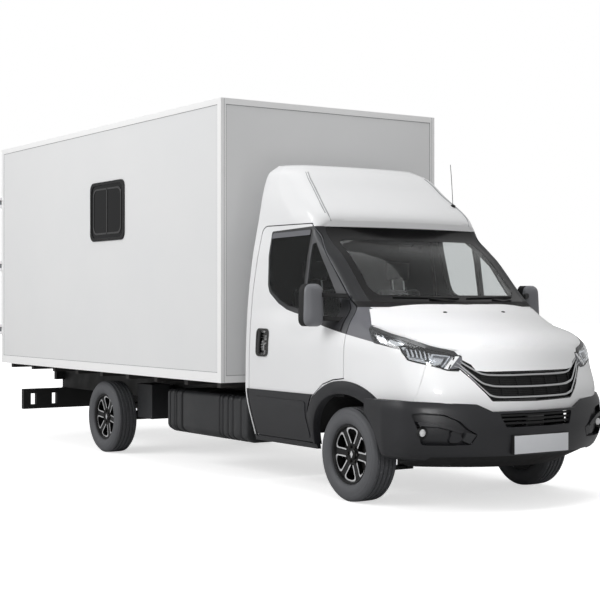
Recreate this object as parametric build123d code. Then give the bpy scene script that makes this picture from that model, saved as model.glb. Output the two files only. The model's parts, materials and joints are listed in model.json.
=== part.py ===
from build123d import *
import os
from math import radians, sin, tan

# Box-bodied ambulance on a light-truck chassis cab.
# Millimetres. X forward, Y left, Z up. Everything is laid out from the front axle:
# X = 0 at the front axle, Z = 0 on the ground. save() then moves the whole vehicle so that
# the origin lies on the ground below the middle of its length.

# ---- running gear ----
WHEELBASE = 4100
WHEEL_TRACK = 1700
TYRE_R = 349.5
TYRE_W = 225
RIM_SEAT_R = 203
RIM_FLANGE_R = 220
RIM_W = 172
RIM_WALL = 9
RIM_LIP = 8
WHEEL_FIT = 0.3
HUB_BORE_R = 39
HUB_FIT = 0.5
DISC_R = 150
DISC_T = 28
HUB_BACK_Y = 20
CALIPER_FIT = 4
SPOKES = 6
SPOKE_HALF = 32
KINGPIN_Y = 690

# ---- cab ----
CAB_REAR_X = -1340
SKIN = 40
SKIN_DROP = 30
PANEL = 14
PANEL_DROP = 10
GLASS = 6
GLASS_DROP = 4
TRIM_PROUD = 12
SHUT_GAP = 8
BONNET_GAP = 6
SEAT_FIT = 0.3
ARCH_OPEN_R = 450
ARCH_TRIM_R = 545
LINER_R = 478
LINER_WALL = 8
LINER_Y = 500
LINER_FOOT_Z = 470
CLADDING_TOP_Z = 775
SILL_Z = 386
CAB_FLOOR_Z = 760
CAB_FLOOR_T = 30
FIREWALL_X = -60
DOOR_HINGE_X = -30
SEAL_W = 24
BONNET_LEDGE = 30
WING_REAR_X = -10
WING_TOP_Z = 1400
NOSE_REAR_X = 640
BACK_WALL_FRONT_X = -1290
ROOF_JOINT_Z = 2243
SIDE_PANEL_FRONT_X = -810
SIDE_PANEL_BOTTOM_Z = 1900

# Seen from the front, (y, z): the nose panel between the two wings.
NOSE_OUTLINE = [
    (-880, 200), (880, 200), (880, 720), (856, 870), (791, 1045), (700, 1060), (700, 1200),
    (-700, 1200), (-700, 1060), (-791, 1045), (-856, 870), (-880, 720),
]

# ---- box body ----
BOX_FRONT_X = -1531
BOX_L = 4762
BOX_W = 2250
BOX_Z = 808
BOX_TOP_Z = 3156
WALL = 45
FLOOR_T = 60
ROOF_T = 45
CORNER_POST = 56
SIDE_RAIL_H = 82
TOP_RAIL_H = 50
EDGE_PROUD = 4
DOOR_T = 40
REAR_DOOR_GAP = 5
REAR_FRAME = 60
DOOR_AXIS_OUT = 20
DOOR_AXIS_BACK = 12
REAR_HEADER = 80
DOOR_STOP = 28
HINGE_Z = (1150, 1850, 2550)
HINGE_PIN_R = 9
STRAP_H = 50
KNUCKLE_H = 30
LEVER_PROUD = 18
WINDOW_X = (-3996, -3290)
WINDOW_Z = (2066, 2610)
WINDOW_R = 70

# ---- chassis ----
RAIL_Y = 390
RAIL_FLANGE = 60
RAIL_Z = (520, 700)
RAIL_T = 7
DIFFERENTIAL_R = 150
PIPE_R = 30
RAIL_X = (-6180, 560)
TOW_EYE_Y = -200
TOW_EYE_R = 10
HITCH_Y = 160
HITCH_Z = 100
HITCH_HOLE_R = 8.5
UNDERRUN_X = -6150
UNDERRUN_HALF = 940
UNDERRUN_Z = (294, 515)
UNDERRUN_WINDOWS = ((786, 853), (542, 602))
UNDERRUN_WINDOW_Z = (341, 463)
END_BEAM_HALF = 550
END_BEAM_Z = (610, 700)
END_BEAM_T = 60
CROSS_XS = (-1500, -2300, -3300, -4850, -5500, -6120)
CROSS_Z = 610
CROSS_R = 40
CAB_MOUNT_XS = (-1200, -560)

HALF_TRACK = WHEEL_TRACK / 2
BOX_REAR_X = BOX_FRONT_X - BOX_L
BOX_HALF = BOX_W / 2
AXLE_Z = TYRE_R
NOSE_X = 1045

# Cab skin as level sections. Each row: height, half width at the rear wall, where the side
# bends inwards (x, half width), the corner of the nose (x, half width), the nose on the
# centre line (x), and how far the corner rounding reaches from the corner.
CAB_SECTIONS = [
    (350, 905, -100, 905, 800, 780, 930, 150),
    (800, 1007, -100, 1005, 835, 850, 992, 210),
    (1005, 1005, -100, 1002, 760, 885, 932, 230),
    (1130, 1002, -100, 998, 710, 900, 893, 230),
    (1229, 998, -100, 980, 570, 900, 795, 220),
    (1308, 994, -100, 950, 280, 900, 610, 170),
    (1440, 986, -100, 871, 60, 862, 250, 80),
    (1800, 945, -700, 883, -315, 845, -180, 60),
    (2067, 895, -900, 852, -590, 822, -512, 55),
    (2110, 886, -900, 850, -570, 800, -470, 110),
    (2400, 829, -1150, 805, -870, 735, -815, 150),
    (2530, 780, -1210, 760, -1025, 690, -970, 130),
    (2600, 680, -1270, 660, -1150, 570, -1100, 90),
]

# Black lower bumper as level sections, in the same columns but ending at BUMPER_REAR_X.
BUMPER_REAR_X = 300
BUMPER_WALL = 45
BUMPER_SECTIONS = [
    (297, 760, 400, 790, 640, 720, 905, 150),
    (400, 975, 480, 985, 780, 880, 1030, 190),
    (560, 1015, 500, 1015, 830, 910, 1045, 200),
    (720, 1025, 500, 1020, 820, 900, 1022, 200),
    (795, 1020, 500, 1012, 790, 880, 1000, 190),
]


def flat(corners, plane):
    """Closed face in a plane. A corner is (a, b), or (a, b, radius) where it is rounded."""
    ends = []
    count = len(corners)
    for i, corner in enumerate(corners):
        here = Vector(corner[0], corner[1])
        radius = corner[2] if len(corner) == 3 else 0
        back = (Vector(*corners[i - 1][:2]) - here).normalized()
        ahead = (Vector(*corners[(i + 1) % count][:2]) - here).normalized()
        half = radians(back.get_angle(ahead)) / 2
        if radius == 0:
            ends.append((here, None, here))
            continue
        middle = here + (back + ahead).normalized() * (radius / sin(half) - radius)
        ends.append((here + back * (radius / tan(half)), middle, here + ahead * (radius / tan(half))))
    edges = []
    for i, (start, middle, finish) in enumerate(ends):
        if middle is not None:
            edges.append(Edge.make_three_point_arc(start, middle, finish))
        following = ends[(i + 1) % count][0]
        if (following - finish).length > 0.001:
            edges.append(Edge.make_line(finish, following))
    return Face(Wire(edges)).moved(plane.location)


def slab_x(corners, x0, x1):
    """Outline in (y, z), solid from x0 to x1."""
    return Solid.extrude(flat(corners, Plane.YZ).moved(Location((x0, 0, 0))), Vector(x1 - x0, 0, 0))


def slab_y(corners, y0, y1):
    """Outline in (x, z), solid from y0 to y1."""
    return Solid.extrude(flat(corners, Plane.XZ).moved(Location((0, y0, 0))), Vector(0, y1 - y0, 0))


def slab_z(corners, z0, z1):
    """Outline in (x, y), solid from z0 to z1."""
    return Solid.extrude(flat(corners, Plane.XY).moved(Location((0, 0, z0))), Vector(0, 0, z1 - z0))


def block(x, y, z):
    """Rectangular solid from three (low, high) pairs."""
    size = (x[1] - x[0], y[1] - y[0], z[1] - z[0])
    return Solid.make_box(*size).moved(Location((x[0], y[0], z[0])))


def frame_corners(low, high, radius=0):
    """Corners of an upright rectangle given by its low and high corners."""
    points = [(low[0], low[1]), (high[0], low[1]), (high[0], high[1]), (low[0], high[1])]
    return [point + (radius,) for point in points] if radius else points


def rod_y(x, z, radius, y0, y1):
    """Round bar along Y."""
    return Solid.make_cylinder(radius, y1 - y0, Plane((x, y0, z), x_dir=(1, 0, 0), z_dir=(0, 1, 0)))


def rod(start, finish, radius):
    """Round bar between two points."""
    run = Vector(*finish) - Vector(*start)
    return Solid.make_cylinder(radius, run.length, Plane(Vector(*start), z_dir=run))


def ring_y(x, z, outer, inner, y0, y1):
    """Flat ring around an axis along Y."""
    return rod_y(x, z, outer, y0, y1) - rod_y(x, z, inner, y0 - 1, y1 + 1)


def turned(profile, x, y, z):
    """Body of revolution around an axis along Y; profile rows are (y offset, radius)."""
    face = flat([(radius, offset) for offset, radius in profile], Plane.XY)
    body = Solid.revolve(face, 360, Axis((0, 0, 0), (0, 1, 0)))
    return body.moved(Location((x, y, z)))


def fused(first, *others):
    """One solid from pieces that touch or overlap."""
    result = first
    for other in others:
        result = result + other
    return result


def mirrored(shape):
    return shape.mirror(Plane.XZ)


def save(name, *shapes):
    """Write one node, moved so that the origin is below the middle of the vehicle."""
    middle_x = (NOSE_X + REAR_END_X) / 2
    solids = [solid for shape in shapes for solid in shape.solids()]
    export_step(Compound(solids).moved(Location((-middle_x, 0, 0))), f"parts/{name}.step")


def level_section(row, rear_x, inset, drop):
    """Closed level wire of one section row, moved in by inset and down by drop."""
    z, rear_w, bend_x, bend_w, corner_x, corner_w, nose_x, reach = row
    rear = Vector(rear_x + inset, rear_w - inset)
    bend = Vector(bend_x, bend_w - inset)
    corner = Vector(corner_x - inset, corner_w - inset)
    nose = Vector(nose_x - inset, 0)
    side_end = corner + (bend - corner).normalized() * reach
    front_end = corner + (nose - corner).normalized() * reach
    middle = side_end * 0.25 + corner * 0.5 + front_end * 0.25

    def left(point):
        return Vector(point.X, point.Y, z - drop)

    def right(point):
        return Vector(point.X, -point.Y, z - drop)

    return Wire([
        Edge.make_line(left(rear), left(bend)),
        Edge.make_line(left(bend), left(side_end)),
        Edge.make_three_point_arc(left(side_end), left(middle), left(front_end)),
        Edge.make_three_point_arc(left(front_end), left(nose), right(front_end)),
        Edge.make_three_point_arc(right(front_end), right(middle), right(side_end)),
        Edge.make_line(right(side_end), right(bend)),
        Edge.make_line(right(bend), right(rear)),
        Edge.make_line(right(rear), left(rear)),
    ])


def stacked(rows, rear_x, inset=0, drop=0):
    """Solid through level sections."""
    return Solid.make_loft([level_section(row, rear_x, inset, drop) for row in rows], ruled=True)


def cab_form(inset=0, drop=0):
    return stacked(CAB_SECTIONS, CAB_REAR_X, inset, drop)


# ---- outlines on the cab's side (x, z) ----
DOOR_REAR_X = -1282
DOOR_FRONT_X = -2
DOOR_TOP_Z = 2085
DOOR_BOTTOM_Z = 400


def door_outline(grow):
    """Door seen from the side; grow widens it on every edge."""
    return [
        (DOOR_REAR_X - grow, DOOR_BOTTOM_Z - grow, 30),
        (-470 + grow, DOOR_BOTTOM_Z - grow),
        (-470 + grow, 640),
        (-395 + grow, 760 - grow),
        (-250 + grow, 862 - grow),
        (-120 + grow, 900 - grow),
        (DOOR_FRONT_X + grow, 915 - grow),
        (DOOR_FRONT_X + grow, 1432 + grow, 20),
        (-95 + grow, 1500 + grow),
        (-655 + grow, DOOR_TOP_Z + grow, 25),
        (DOOR_REAR_X + 25 - grow, DOOR_TOP_Z + grow, 60),
        (DOOR_REAR_X - grow, 1500, 200),
    ]


WINDOW_OUTLINE = [(-1163, 2035, 40), (-1150, 1890, 60), (-1060, 1560, 60), (-960, 1440, 60), (-640, 1415, 20), (-640, 2035, 20)]
QUARTER_OUTLINE = [(-600, 1925, 12), (-600, 1415, 15), (-160, 1385, 25), (-160, 1432, 15), (-560, 1935, 8)]

# Bonnet shut line from the windscreen's foot, over the lamp, to the grille's corner.
BONNET_LINE = [(52, 1447), (225, 1318), (600, 1232), (780, 1135), (826, 1100), (880, 1003)]
LAMP_OUTLINE = [(214, 1310, 8), (600, 1223), (775, 1128, 20), (812, 1098, 8), (812, 985, 10), (780, 985, 15), (655, 1075), (600, 1118, 15), (300, 1168, 25)]


def above_bumper(lift):
    """Everything above the bumper's top edge, which dips below the grille."""
    edge = [(-1200, 791), (-1060, 791), (-585, 778), (-379, 708), (379, 708), (585, 778), (1060, 791), (1200, 791)]
    return slab_x([(y, z + lift) for y, z in edge] + [(1200, 900), (-1200, 900)], 0, 1200)


def make_cab():
    outer = cab_form()
    inner = cab_form(SKIN, SKIN_DROP)
    rear_opening = block((CAB_REAR_X - 10, -900), (-800, 800), (200, CAB_FLOOR_Z - CAB_FLOOR_T))
    shell = outer - inner - rear_opening
    under_panel = cab_form(PANEL, PANEL_DROP)
    under_glass = cab_form(GLASS, GLASS_DROP)

    # doors
    door_cut = slab_y(door_outline(SHUT_GAP), -1200, -600)
    door_body = slab_y(door_outline(0), -1200, -600)
    door_core = slab_y(door_outline(-25), -1200, -600)
    openings = fused(slab_y(WINDOW_OUTLINE, -1200, -600), slab_y(QUARTER_OUTLINE, -1200, -600))
    skin_layer = (outer - under_panel) & door_body
    core_layer = (under_panel - inner) & door_core
    door = fused(skin_layer, core_layer) - openings
    door_glass = (outer - under_glass) & openings

    # windscreen
    screen = slab_x([(-770, 1478, 20), (770, 1478, 20), (745, 2038, 40), (-745, 2038, 40)], -620, 300)
    windscreen = (outer - under_glass) & screen

    # bonnet: everything above its shut line
    def above_line(gap):
        run = [(x, z + gap) for x, z in BONNET_LINE]
        return slab_y([(BONNET_LINE[0][0] + gap, 1600)] + run + [(1200, 1003 + gap), (1200, 1600)], -1100, 1100)

    bonnet_zone = above_line(0)
    cowl = slab_z([(-900, -1100), (60, -1100), (60, -880), (165, -450), (222, 0), (165, 450), (60, 880), (60, 1100), (-900, 1100)], 1300, 1700)
    cowl_gap = cowl.moved(Location((BONNET_GAP, 0, 0)))
    bonnet = ((outer - under_panel) & above_line(BONNET_GAP)) - cowl_gap

    # lamps
    lamp_zone = slab_y(LAMP_OUTLINE, -1100, -610)
    lamp = (outer - inner) & lamp_zone
    lamp_clip = lamp_zone & cab_form(-50)

    grille_zone = slab_x([(-585, 1090), (-440, 1001), (440, 1001), (585, 1090), (600, 1060), (455, 965), (370, 775, 20),
                          (-370, 775, 20), (-455, 965), (-600, 1060)], 600, 1200)

    shell = shell - door_cut - mirrored(door_cut) - screen
    shell = shell - (bonnet_zone - cowl)
    shell = shell - lamp_clip - mirrored(lamp_clip) - grille_zone
    for side in (-1, 1):
        low, high = sorted((side * 520, side * 1200))
        shell = shell - rod_y(0, AXLE_Z, ARCH_OPEN_R, low, high)
    bumper_room = stacked(BUMPER_SECTIONS, BUMPER_REAR_X, -SEAT_FIT) - above_bumper(SEAT_FIT)
    shell = shell - block((ARCH_OPEN_R - 150, 1200), (-1200, 1200), (200, 700)) - bumper_room

    # floor and firewall stand inside the skin and clear the wheelhouses
    floor = block((-1400, FIREWALL_X), (-1200, 1200), (CAB_FLOOR_Z - CAB_FLOOR_T, CAB_FLOOR_Z)) & inner
    firewall = block((FIREWALL_X - CAB_FLOOR_T, FIREWALL_X), (-1200, 1200), (CAB_FLOOR_Z - CAB_FLOOR_T, 1405)) & inner
    structure = fused(floor, firewall)
    for side in (-1, 1):
        low, high = sorted((side * (LINER_Y - LINER_WALL - SEAT_FIT), side * 1200))
        structure = structure - rod_y(0, AXLE_Z, LINER_R + SEAT_FIT, low, high)
    structure = structure - door_cut - mirrored(door_cut)
    ledge = (cab_form(PANEL + SEAT_FIT, PANEL_DROP + SEAT_FIT) - inner) & (bonnet_zone - above_line(BONNET_LEDGE) - cowl)
    save("cab_floor", structure)

    # wings and nose are panels of their own, ahead of the doors and below the windscreen
    shell = fused(shell, ledge)
    front_zone = block((WING_REAR_X, 1200), (-1200, 1200), (200, WING_TOP_Z))
    nose_zone = slab_x(NOSE_OUTLINE, NOSE_REAR_X, 1200)
    front_shell = shell & front_zone
    wings = front_shell - nose_zone
    save("front_panels", *wings.solids(), front_shell & nose_zone)
    shell = shell - front_zone

    # rubber seal that the closed door rests on, behind the edge of its outer panel
    seal_ring = slab_y(door_outline(SHUT_GAP), -1200, -600) - slab_y(door_outline(SHUT_GAP - SEAL_W), -1200, -600)
    seal_ring = seal_ring - block((DOOR_HINGE_X - 50, 100), (-1300, 0), (0, 3000))
    seal = (cab_form(PANEL + SEAT_FIT, PANEL_DROP + SEAT_FIT) - inner) & seal_ring
    save("door_seals", seal, mirrored(seal))

    # back wall, roof moulding and the panels above the doors meet the windscreen's frame face to face
    back_zone = block((CAB_REAR_X - 10, BACK_WALL_FRONT_X), (-1200, 1200), (200, 2700))
    roof_zone = block((BACK_WALL_FRONT_X, 0), (-1200, 1200), (ROOF_JOINT_Z, 2700))
    side_zone = block((BACK_WALL_FRONT_X, SIDE_PANEL_FRONT_X), (-1200, 1200), (SIDE_PANEL_BOTTOM_Z, ROOF_JOINT_Z))
    save("cab_back_wall", shell & back_zone)
    save("cab_roof", shell & roof_zone)
    save("cab_shell", shell & side_zone, shell - back_zone - roof_zone - side_zone)
    save("bonnet", bonnet)
    save("windscreen", windscreen)
    save("door_right", door)
    save("door_left", mirrored(door))
    save("door_glass_right", door_glass)
    save("door_glass_left", mirrored(door_glass))
    save("headlamps", lamp, mirrored(lamp))
    return grille_zone


def make_cladding():
    """Black lower door panels, handles, arch trims and sills that stand proud of the skin."""
    outer = cab_form()
    proud = cab_form(-TRIM_PROUD) - outer
    door_low = slab_y(door_outline(0), -1200, -600)
    band = block((-1400, 300), (-1200, 0), (300, CLADDING_TOP_Z))
    handle = slab_y(frame_corners((-1175, 1045), (-1011, 1258), 40), -1200, -600)
    door_trim = (proud & door_low & band)
    door_handle = (cab_form(-TRIM_PROUD) - outer) & handle
    save("door_trim_right", door_trim, door_handle)
    save("door_trim_left", mirrored(door_trim), mirrored(door_handle))

    arch = ring_y(0, AXLE_Z, ARCH_TRIM_R, ARCH_OPEN_R, -1200, -600)
    arch_zone = arch - block((-1000, 1000), (-1300, 0), (-300, 640)) - slab_y(door_outline(SHUT_GAP), -1200, -600)
    arch_zone = arch_zone - (stacked(BUMPER_SECTIONS, BUMPER_REAR_X, -SEAT_FIT) - above_bumper(SEAT_FIT))
    trim = (cab_form(-TRIM_PROUD * 2) - outer) & arch_zone
    rear_strip = proud & block((CAB_REAR_X, DOOR_REAR_X - SHUT_GAP), (-1200, -880), (SILL_Z, CLADDING_TOP_Z))
    save("wheel_arch_trims", trim, mirrored(trim), rear_strip, mirrored(rear_strip))


def make_bumper(grille_zone):
    body = stacked(BUMPER_SECTIONS, BUMPER_REAR_X)
    hollow = stacked(BUMPER_SECTIONS, BUMPER_REAR_X - 200, BUMPER_WALL) - block((0, 1200), (-1200, 1200), (0, 297 + BUMPER_WALL))
    bumper = body - hollow - above_bumper(0)
    for side in (-1, 1):
        low, high = sorted((side * 520, side * 1200))
        bumper = bumper - rod_y(0, AXLE_Z, ARCH_OPEN_R, low, high)
    intake = slab_x([(-300, 596, 15), (300, 596, 15), (345, 684, 15), (-345, 684, 15)], 500, 1200)
    recess = slab_x([(-930, 560, 30), (-890, 483, 30), (-507, 500, 30), (-560, 620, 30), (-700, 660, 40), (-925, 700, 30)], 500, 1200)
    recess = recess - stacked(BUMPER_SECTIONS, BUMPER_REAR_X, BUMPER_WALL / 2)
    bumper = bumper - intake - recess - mirrored(recess)
    save("front_bumper", bumper)
    outer = cab_form()
    inner = cab_form(SKIN, SKIN_DROP)
    band = outer - inner
    slats = []
    for low, high in ((790, 822), (852, 890), (930, 968)):
        slats.append(band & grille_zone & block((0, 1200), (-1200, 1200), (low, high)))
    backing = (cab_form(SKIN / 2, 0) - inner) & grille_zone
    save("grille", fused(backing, *slats))


def make_liners():
    inner = cab_form(SKIN + SEAT_FIT, SKIN_DROP + SEAT_FIT)
    liners = []
    for side in (-1, 1):
        low, high = sorted((side * LINER_Y, side * 940))
        arc = ring_y(0, AXLE_Z, LINER_R, LINER_R - LINER_WALL, low, high)
        wall_low, wall_high = sorted((side * (LINER_Y - LINER_WALL), side * LINER_Y))
        below = block((-700, 700), (-1200, 1200), (-300, LINER_FOOT_Z))
        slot = block((-90, 90), (-1200, 1200), (0, 650))
        wall = rod_y(0, AXLE_Z, LINER_R, wall_low, wall_high) - slot
        liners.append((fused(arc, wall) - below) & inner)
    save("wheel_liners", *liners)


def make_mirrors():
    housing = slab_x([(-1190, 1310, 35), (-1000, 1290, 25), (-1010, 1600, 40), (-1180, 1612, 50)], -300, -180)
    arms = [rod((-95, -905, z), (-225, -1030, z + 10), 14) for z in (1345, 1520)]
    mirror = fused(housing, *arms)
    mirror = mirror - cab_form(-SEAT_FIT)
    save("mirror_right", mirror)
    save("mirror_left", mirrored(mirror))


def make_interior():
    inner = cab_form(SKIN + SEAT_FIT, SKIN_DROP + SEAT_FIT)
    dash = slab_y([(-95, 900), (-95, 1395, 20), (-180, 1400, 40), (-420, 1300, 60), (-450, 1120, 50), (-330, 900, 40)], -860, 860) & inner
    console = block((-330, -95), (-160, 160), (CAB_FLOOR_Z + SEAT_FIT, 905))
    save("dashboard", fused(dash, console))
    column = rod((-330, 400, 1080), (-560, 400, 1190), 30)
    wheel = Solid.make_torus(185, 15, Plane((-575, 400, 1197), z_dir=(-0.9, 0, 0.436)))
    hub = Solid.make_cylinder(60, 30, Plane((-560, 400, 1190), z_dir=(-0.9, 0, 0.436)))
    bars = [rod((-572, 400, 1196), (-572, 400 + side * 178, 1196), 12) for side in (-1, 1)]
    save("steering_wheel", fused(column, hub, wheel, *bars) - dash)
    seats = []
    for middle in (-430, 430):
        base = slab_y([(-1130, CAB_FLOOR_Z + SEAT_FIT), (-620, CAB_FLOOR_Z + SEAT_FIT), (-560, 900, 40), (-570, 1010, 50), (-1080, 960, 30)], middle - 240, middle + 240)
        back = slab_y([(-1150, 940, 40), (-1020, 960, 40), (-1110, 1600, 50), (-1210, 1600, 40)], middle - 240, middle + 240)
        head = slab_y([(-1140, 1640, 30), (-1130, 1830, 40), (-1220, 1830, 40), (-1220, 1640, 30)], middle - 130, middle + 130)
        posts = [rod((-1165, middle + side * 60, 1560), (-1175, middle + side * 60, 1700), 8) for side in (-1, 1)]
        seats.append(fused(base, back, head, *posts))
    save("seats", *seats)


def make_box():
    front = BOX_FRONT_X
    rear = BOX_REAR_X
    top = BOX_TOP_Z
    inside = BOX_HALF - WALL
    floor = block((rear + REAR_FRAME, front - WALL), (-inside, inside), (BOX_Z, BOX_Z + FLOOR_T))
    bearers = [block((x - 30, x + 30), (-1050, 1050), (BOX_Z - 50, BOX_Z)) for x in range(int(rear) + 120, int(front) - 60, 560)]
    sills = []
    for side in (-1, 1):
        low, high = sorted((side * RAIL_Y, side * (RAIL_Y + RAIL_FLANGE)))
        sills.append(block((rear + REAR_FRAME, front - WALL), (low, high), (RAIL_Z[1], BOX_Z - 50)))
    save("box_floor", fused(floor, *bearers, *sills))
    save("box_front_wall", block((front - WALL, front), (-inside, inside), (BOX_Z + SIDE_RAIL_H - 25, top - TOP_RAIL_H)))
    wall_z = (BOX_Z + SIDE_RAIL_H, top - TOP_RAIL_H)
    wall = block((rear + REAR_FRAME, front - CORNER_POST), (-BOX_HALF, -inside), wall_z)
    opening = slab_y(frame_corners((WINDOW_X[0], WINDOW_Z[0]), (WINDOW_X[1], WINDOW_Z[1]), WINDOW_R), -BOX_HALF - 50, -inside + 50)
    wall = wall - opening
    pane = slab_y(frame_corners((WINDOW_X[0], WINDOW_Z[0]), (WINDOW_X[1], WINDOW_Z[1]), WINDOW_R), -BOX_HALF - 6, -BOX_HALF + 16)
    save("box_side_right", wall)
    save("box_side_left", mirrored(wall))
    save("side_windows", pane, mirrored(pane))
    save("box_roof", block((rear + REAR_FRAME, front - CORNER_POST), (-inside, inside), (top - ROOF_T, top - 6)))

    outer = BOX_HALF + EDGE_PROUD
    rails = []
    for side in (-1, 1):
        low, high = sorted((side * inside, side * outer))
        rails.append(block((rear, front + EDGE_PROUD), (low, high), (BOX_Z, BOX_Z + SIDE_RAIL_H)))
        rails.append(block((rear, front + EDGE_PROUD), (low, high), (top - TOP_RAIL_H, top)))
        rails.append(block((front - CORNER_POST, front + EDGE_PROUD), (low, high), (BOX_Z, top)))
        rails.append(block((rear, rear + REAR_FRAME), sorted((side * (BOX_HALF - REAR_FRAME), side * outer)), (BOX_Z, top)))
    rails.append(block((front - WALL, front + EDGE_PROUD), (-inside, inside), (BOX_Z, BOX_Z + SIDE_RAIL_H - 25)))
    rails.append(block((front - WALL, front + EDGE_PROUD), (-inside, inside), (top - TOP_RAIL_H, top)))
    rails.append(block((rear, rear + REAR_FRAME), (-inside, inside), (BOX_Z, BOX_Z + SIDE_RAIL_H)))
    rails.append(block((rear, rear + REAR_FRAME), (-inside, inside), (top - REAR_HEADER, top)))
    # stop flange inside the rear frame that the closed doors rest on
    stop_x = (rear + DOOR_T + SEAT_FIT, rear + REAR_FRAME)
    doorway_z = (BOX_Z + SIDE_RAIL_H, top - REAR_HEADER)
    doorway_y = BOX_HALF - REAR_FRAME
    flange = block(stop_x, (-doorway_y, doorway_y), doorway_z)
    flange = flange - block((rear, rear + 100), (-doorway_y + DOOR_STOP, doorway_y - DOOR_STOP),
                            (doorway_z[0] + DOOR_STOP, doorway_z[1] - DOOR_STOP))
    frame = fused(*rails, flange)
    axis_y = -(BOX_HALF + DOOR_AXIS_OUT)
    axis_x = rear - DOOR_AXIS_BACK
    for z in HINGE_Z:
        for low, high in ((z - KNUCKLE_H, z - SEAT_FIT), (z + STRAP_H + SEAT_FIT, z + STRAP_H + KNUCKLE_H)):
            knuckle = block((axis_x - HINGE_PIN_R, rear + 30), (axis_y - HINGE_PIN_R, -outer), (low, high))
            knuckle = knuckle - Solid.make_cylinder(HINGE_PIN_R - 4 + SEAT_FIT, high - low + 2, Plane((axis_x, axis_y, low - 1)))
            frame = fused(frame, knuckle, mirrored(knuckle))
    save("box_edge_profiles", frame)

    # twin rear doors between the posts, with straps out to pins beside the corners
    door_z = (doorway_z[0] + REAR_DOOR_GAP, doorway_z[1] - REAR_DOOR_GAP)
    door_y = (-(BOX_HALF - REAR_FRAME - REAR_DOOR_GAP), -REAR_DOOR_GAP)
    slab = block((rear, rear + DOOR_T), door_y, door_z)
    rods = [block((rear - 14, rear), (y - 14, y + 14), (door_z[0] + 40, door_z[1] - 40)) for y in (-330,)]
    lever = block((rear - LEVER_PROUD, rear), (-480, -345), (1500, 1540))
    straps = []
    for z in HINGE_Z:
        strap = block((rear - 9, rear), (axis_y, -(BOX_HALF - REAR_FRAME) + 140), (z, z + STRAP_H))
        eye = Solid.make_cylinder(HINGE_PIN_R, STRAP_H, Plane((axis_x, axis_y, z)))
        pin = Solid.make_cylinder(HINGE_PIN_R - 4, STRAP_H + 2 * KNUCKLE_H - 4, Plane((axis_x, axis_y, z - KNUCKLE_H + 2)))
        strap = strap - block((rear - EDGE_PROUD, rear + 10), (axis_y - 40, -(BOX_HALF - REAR_FRAME)), (z - 5, z + 55))
        straps.append(fused(strap, eye, pin))
    door = fused(slab, *rods, lever)
    for strap in straps:
        door = door + strap
    save("rear_door_right", door)
    save("rear_door_left", mirrored(door))
    save("rear_lamps", *[block((rear - 12, rear), sorted((side * 1068, side * 1118)), z) for side in (-1, 1) for z in ((830, 1100),)])


def make_wheels():
    for end, x in (("front", 0), ("rear", -WHEELBASE)):
        for name, side in (("right", -1), ("left", 1)):
            half = TYRE_W / 2
            bead = RIM_W / 2 - RIM_LIP - WHEEL_FIT
            tyre = turned([
                (-bead, RIM_SEAT_R + WHEEL_FIT), (-bead, RIM_FLANGE_R + 2), (-half + 20, RIM_FLANGE_R + 6),
                (-half, TYRE_R - 78),
                (-half + 6, TYRE_R - 34), (-half + 28, TYRE_R - 5), (-half + 60, TYRE_R), (half - 60, TYRE_R),
                (half - 28, TYRE_R - 5), (half - 6, TYRE_R - 34), (half, TYRE_R - 78), (half - 20, RIM_FLANGE_R + 6),
                (bead, RIM_FLANGE_R + 2), (bead, RIM_SEAT_R + WHEEL_FIT),
            ], 0, 0, 0)
            rim_half = RIM_W / 2
            barrel = turned([
                (-rim_half, RIM_SEAT_R - RIM_WALL), (-rim_half, RIM_FLANGE_R), (-rim_half + RIM_LIP, RIM_FLANGE_R),
                (-rim_half + RIM_LIP, RIM_SEAT_R), (rim_half - RIM_LIP, RIM_SEAT_R), (rim_half - RIM_LIP, RIM_FLANGE_R),
                (rim_half, RIM_FLANGE_R), (rim_half, RIM_SEAT_R - RIM_WALL),
            ], 0, 0, 0)
            face_y = 62
            hub = turned([
                (HUB_BACK_Y, HUB_BORE_R), (HUB_BACK_Y, 88), (face_y - 10, 82), (face_y, 60), (face_y, 0),
                (face_y - 12, 0), (face_y - 12, HUB_BORE_R),
            ], 0, 0, 0)
            wheel = fused(barrel, hub)
            spoke = slab_x([(30, 60), (face_y - 8, 60), (face_y + 4, RIM_SEAT_R - 4), (44, RIM_SEAT_R - 4)],
                           -SPOKE_HALF, SPOKE_HALF)
            for index in range(SPOKES):
                wheel = wheel + spoke.rotate(Axis((0, 0, 0), (0, 1, 0)), 360 / SPOKES * (index + 0.5))
            disc = turned([
                (HUB_BACK_Y - DISC_T, HUB_BORE_R + 24), (HUB_BACK_Y - DISC_T, DISC_R), (HUB_BACK_Y, DISC_R),
                (HUB_BACK_Y, HUB_BORE_R + 24),
            ], 0, 0, 0)
            if side < 0:
                tyre, wheel, disc = mirrored(tyre), mirrored(wheel), mirrored(disc)
            place = Location((x, side * HALF_TRACK, AXLE_Z))
            save(f"tyre_{end}_{name}", tyre.moved(place))
            save(f"wheel_{end}_{name}", wheel.moved(place), disc.moved(place))


def differential():
    return Solid.make_sphere(DIFFERENTIAL_R, angle1=-90, angle2=90).moved(Location((-WHEELBASE, 0, AXLE_Z)))


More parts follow.
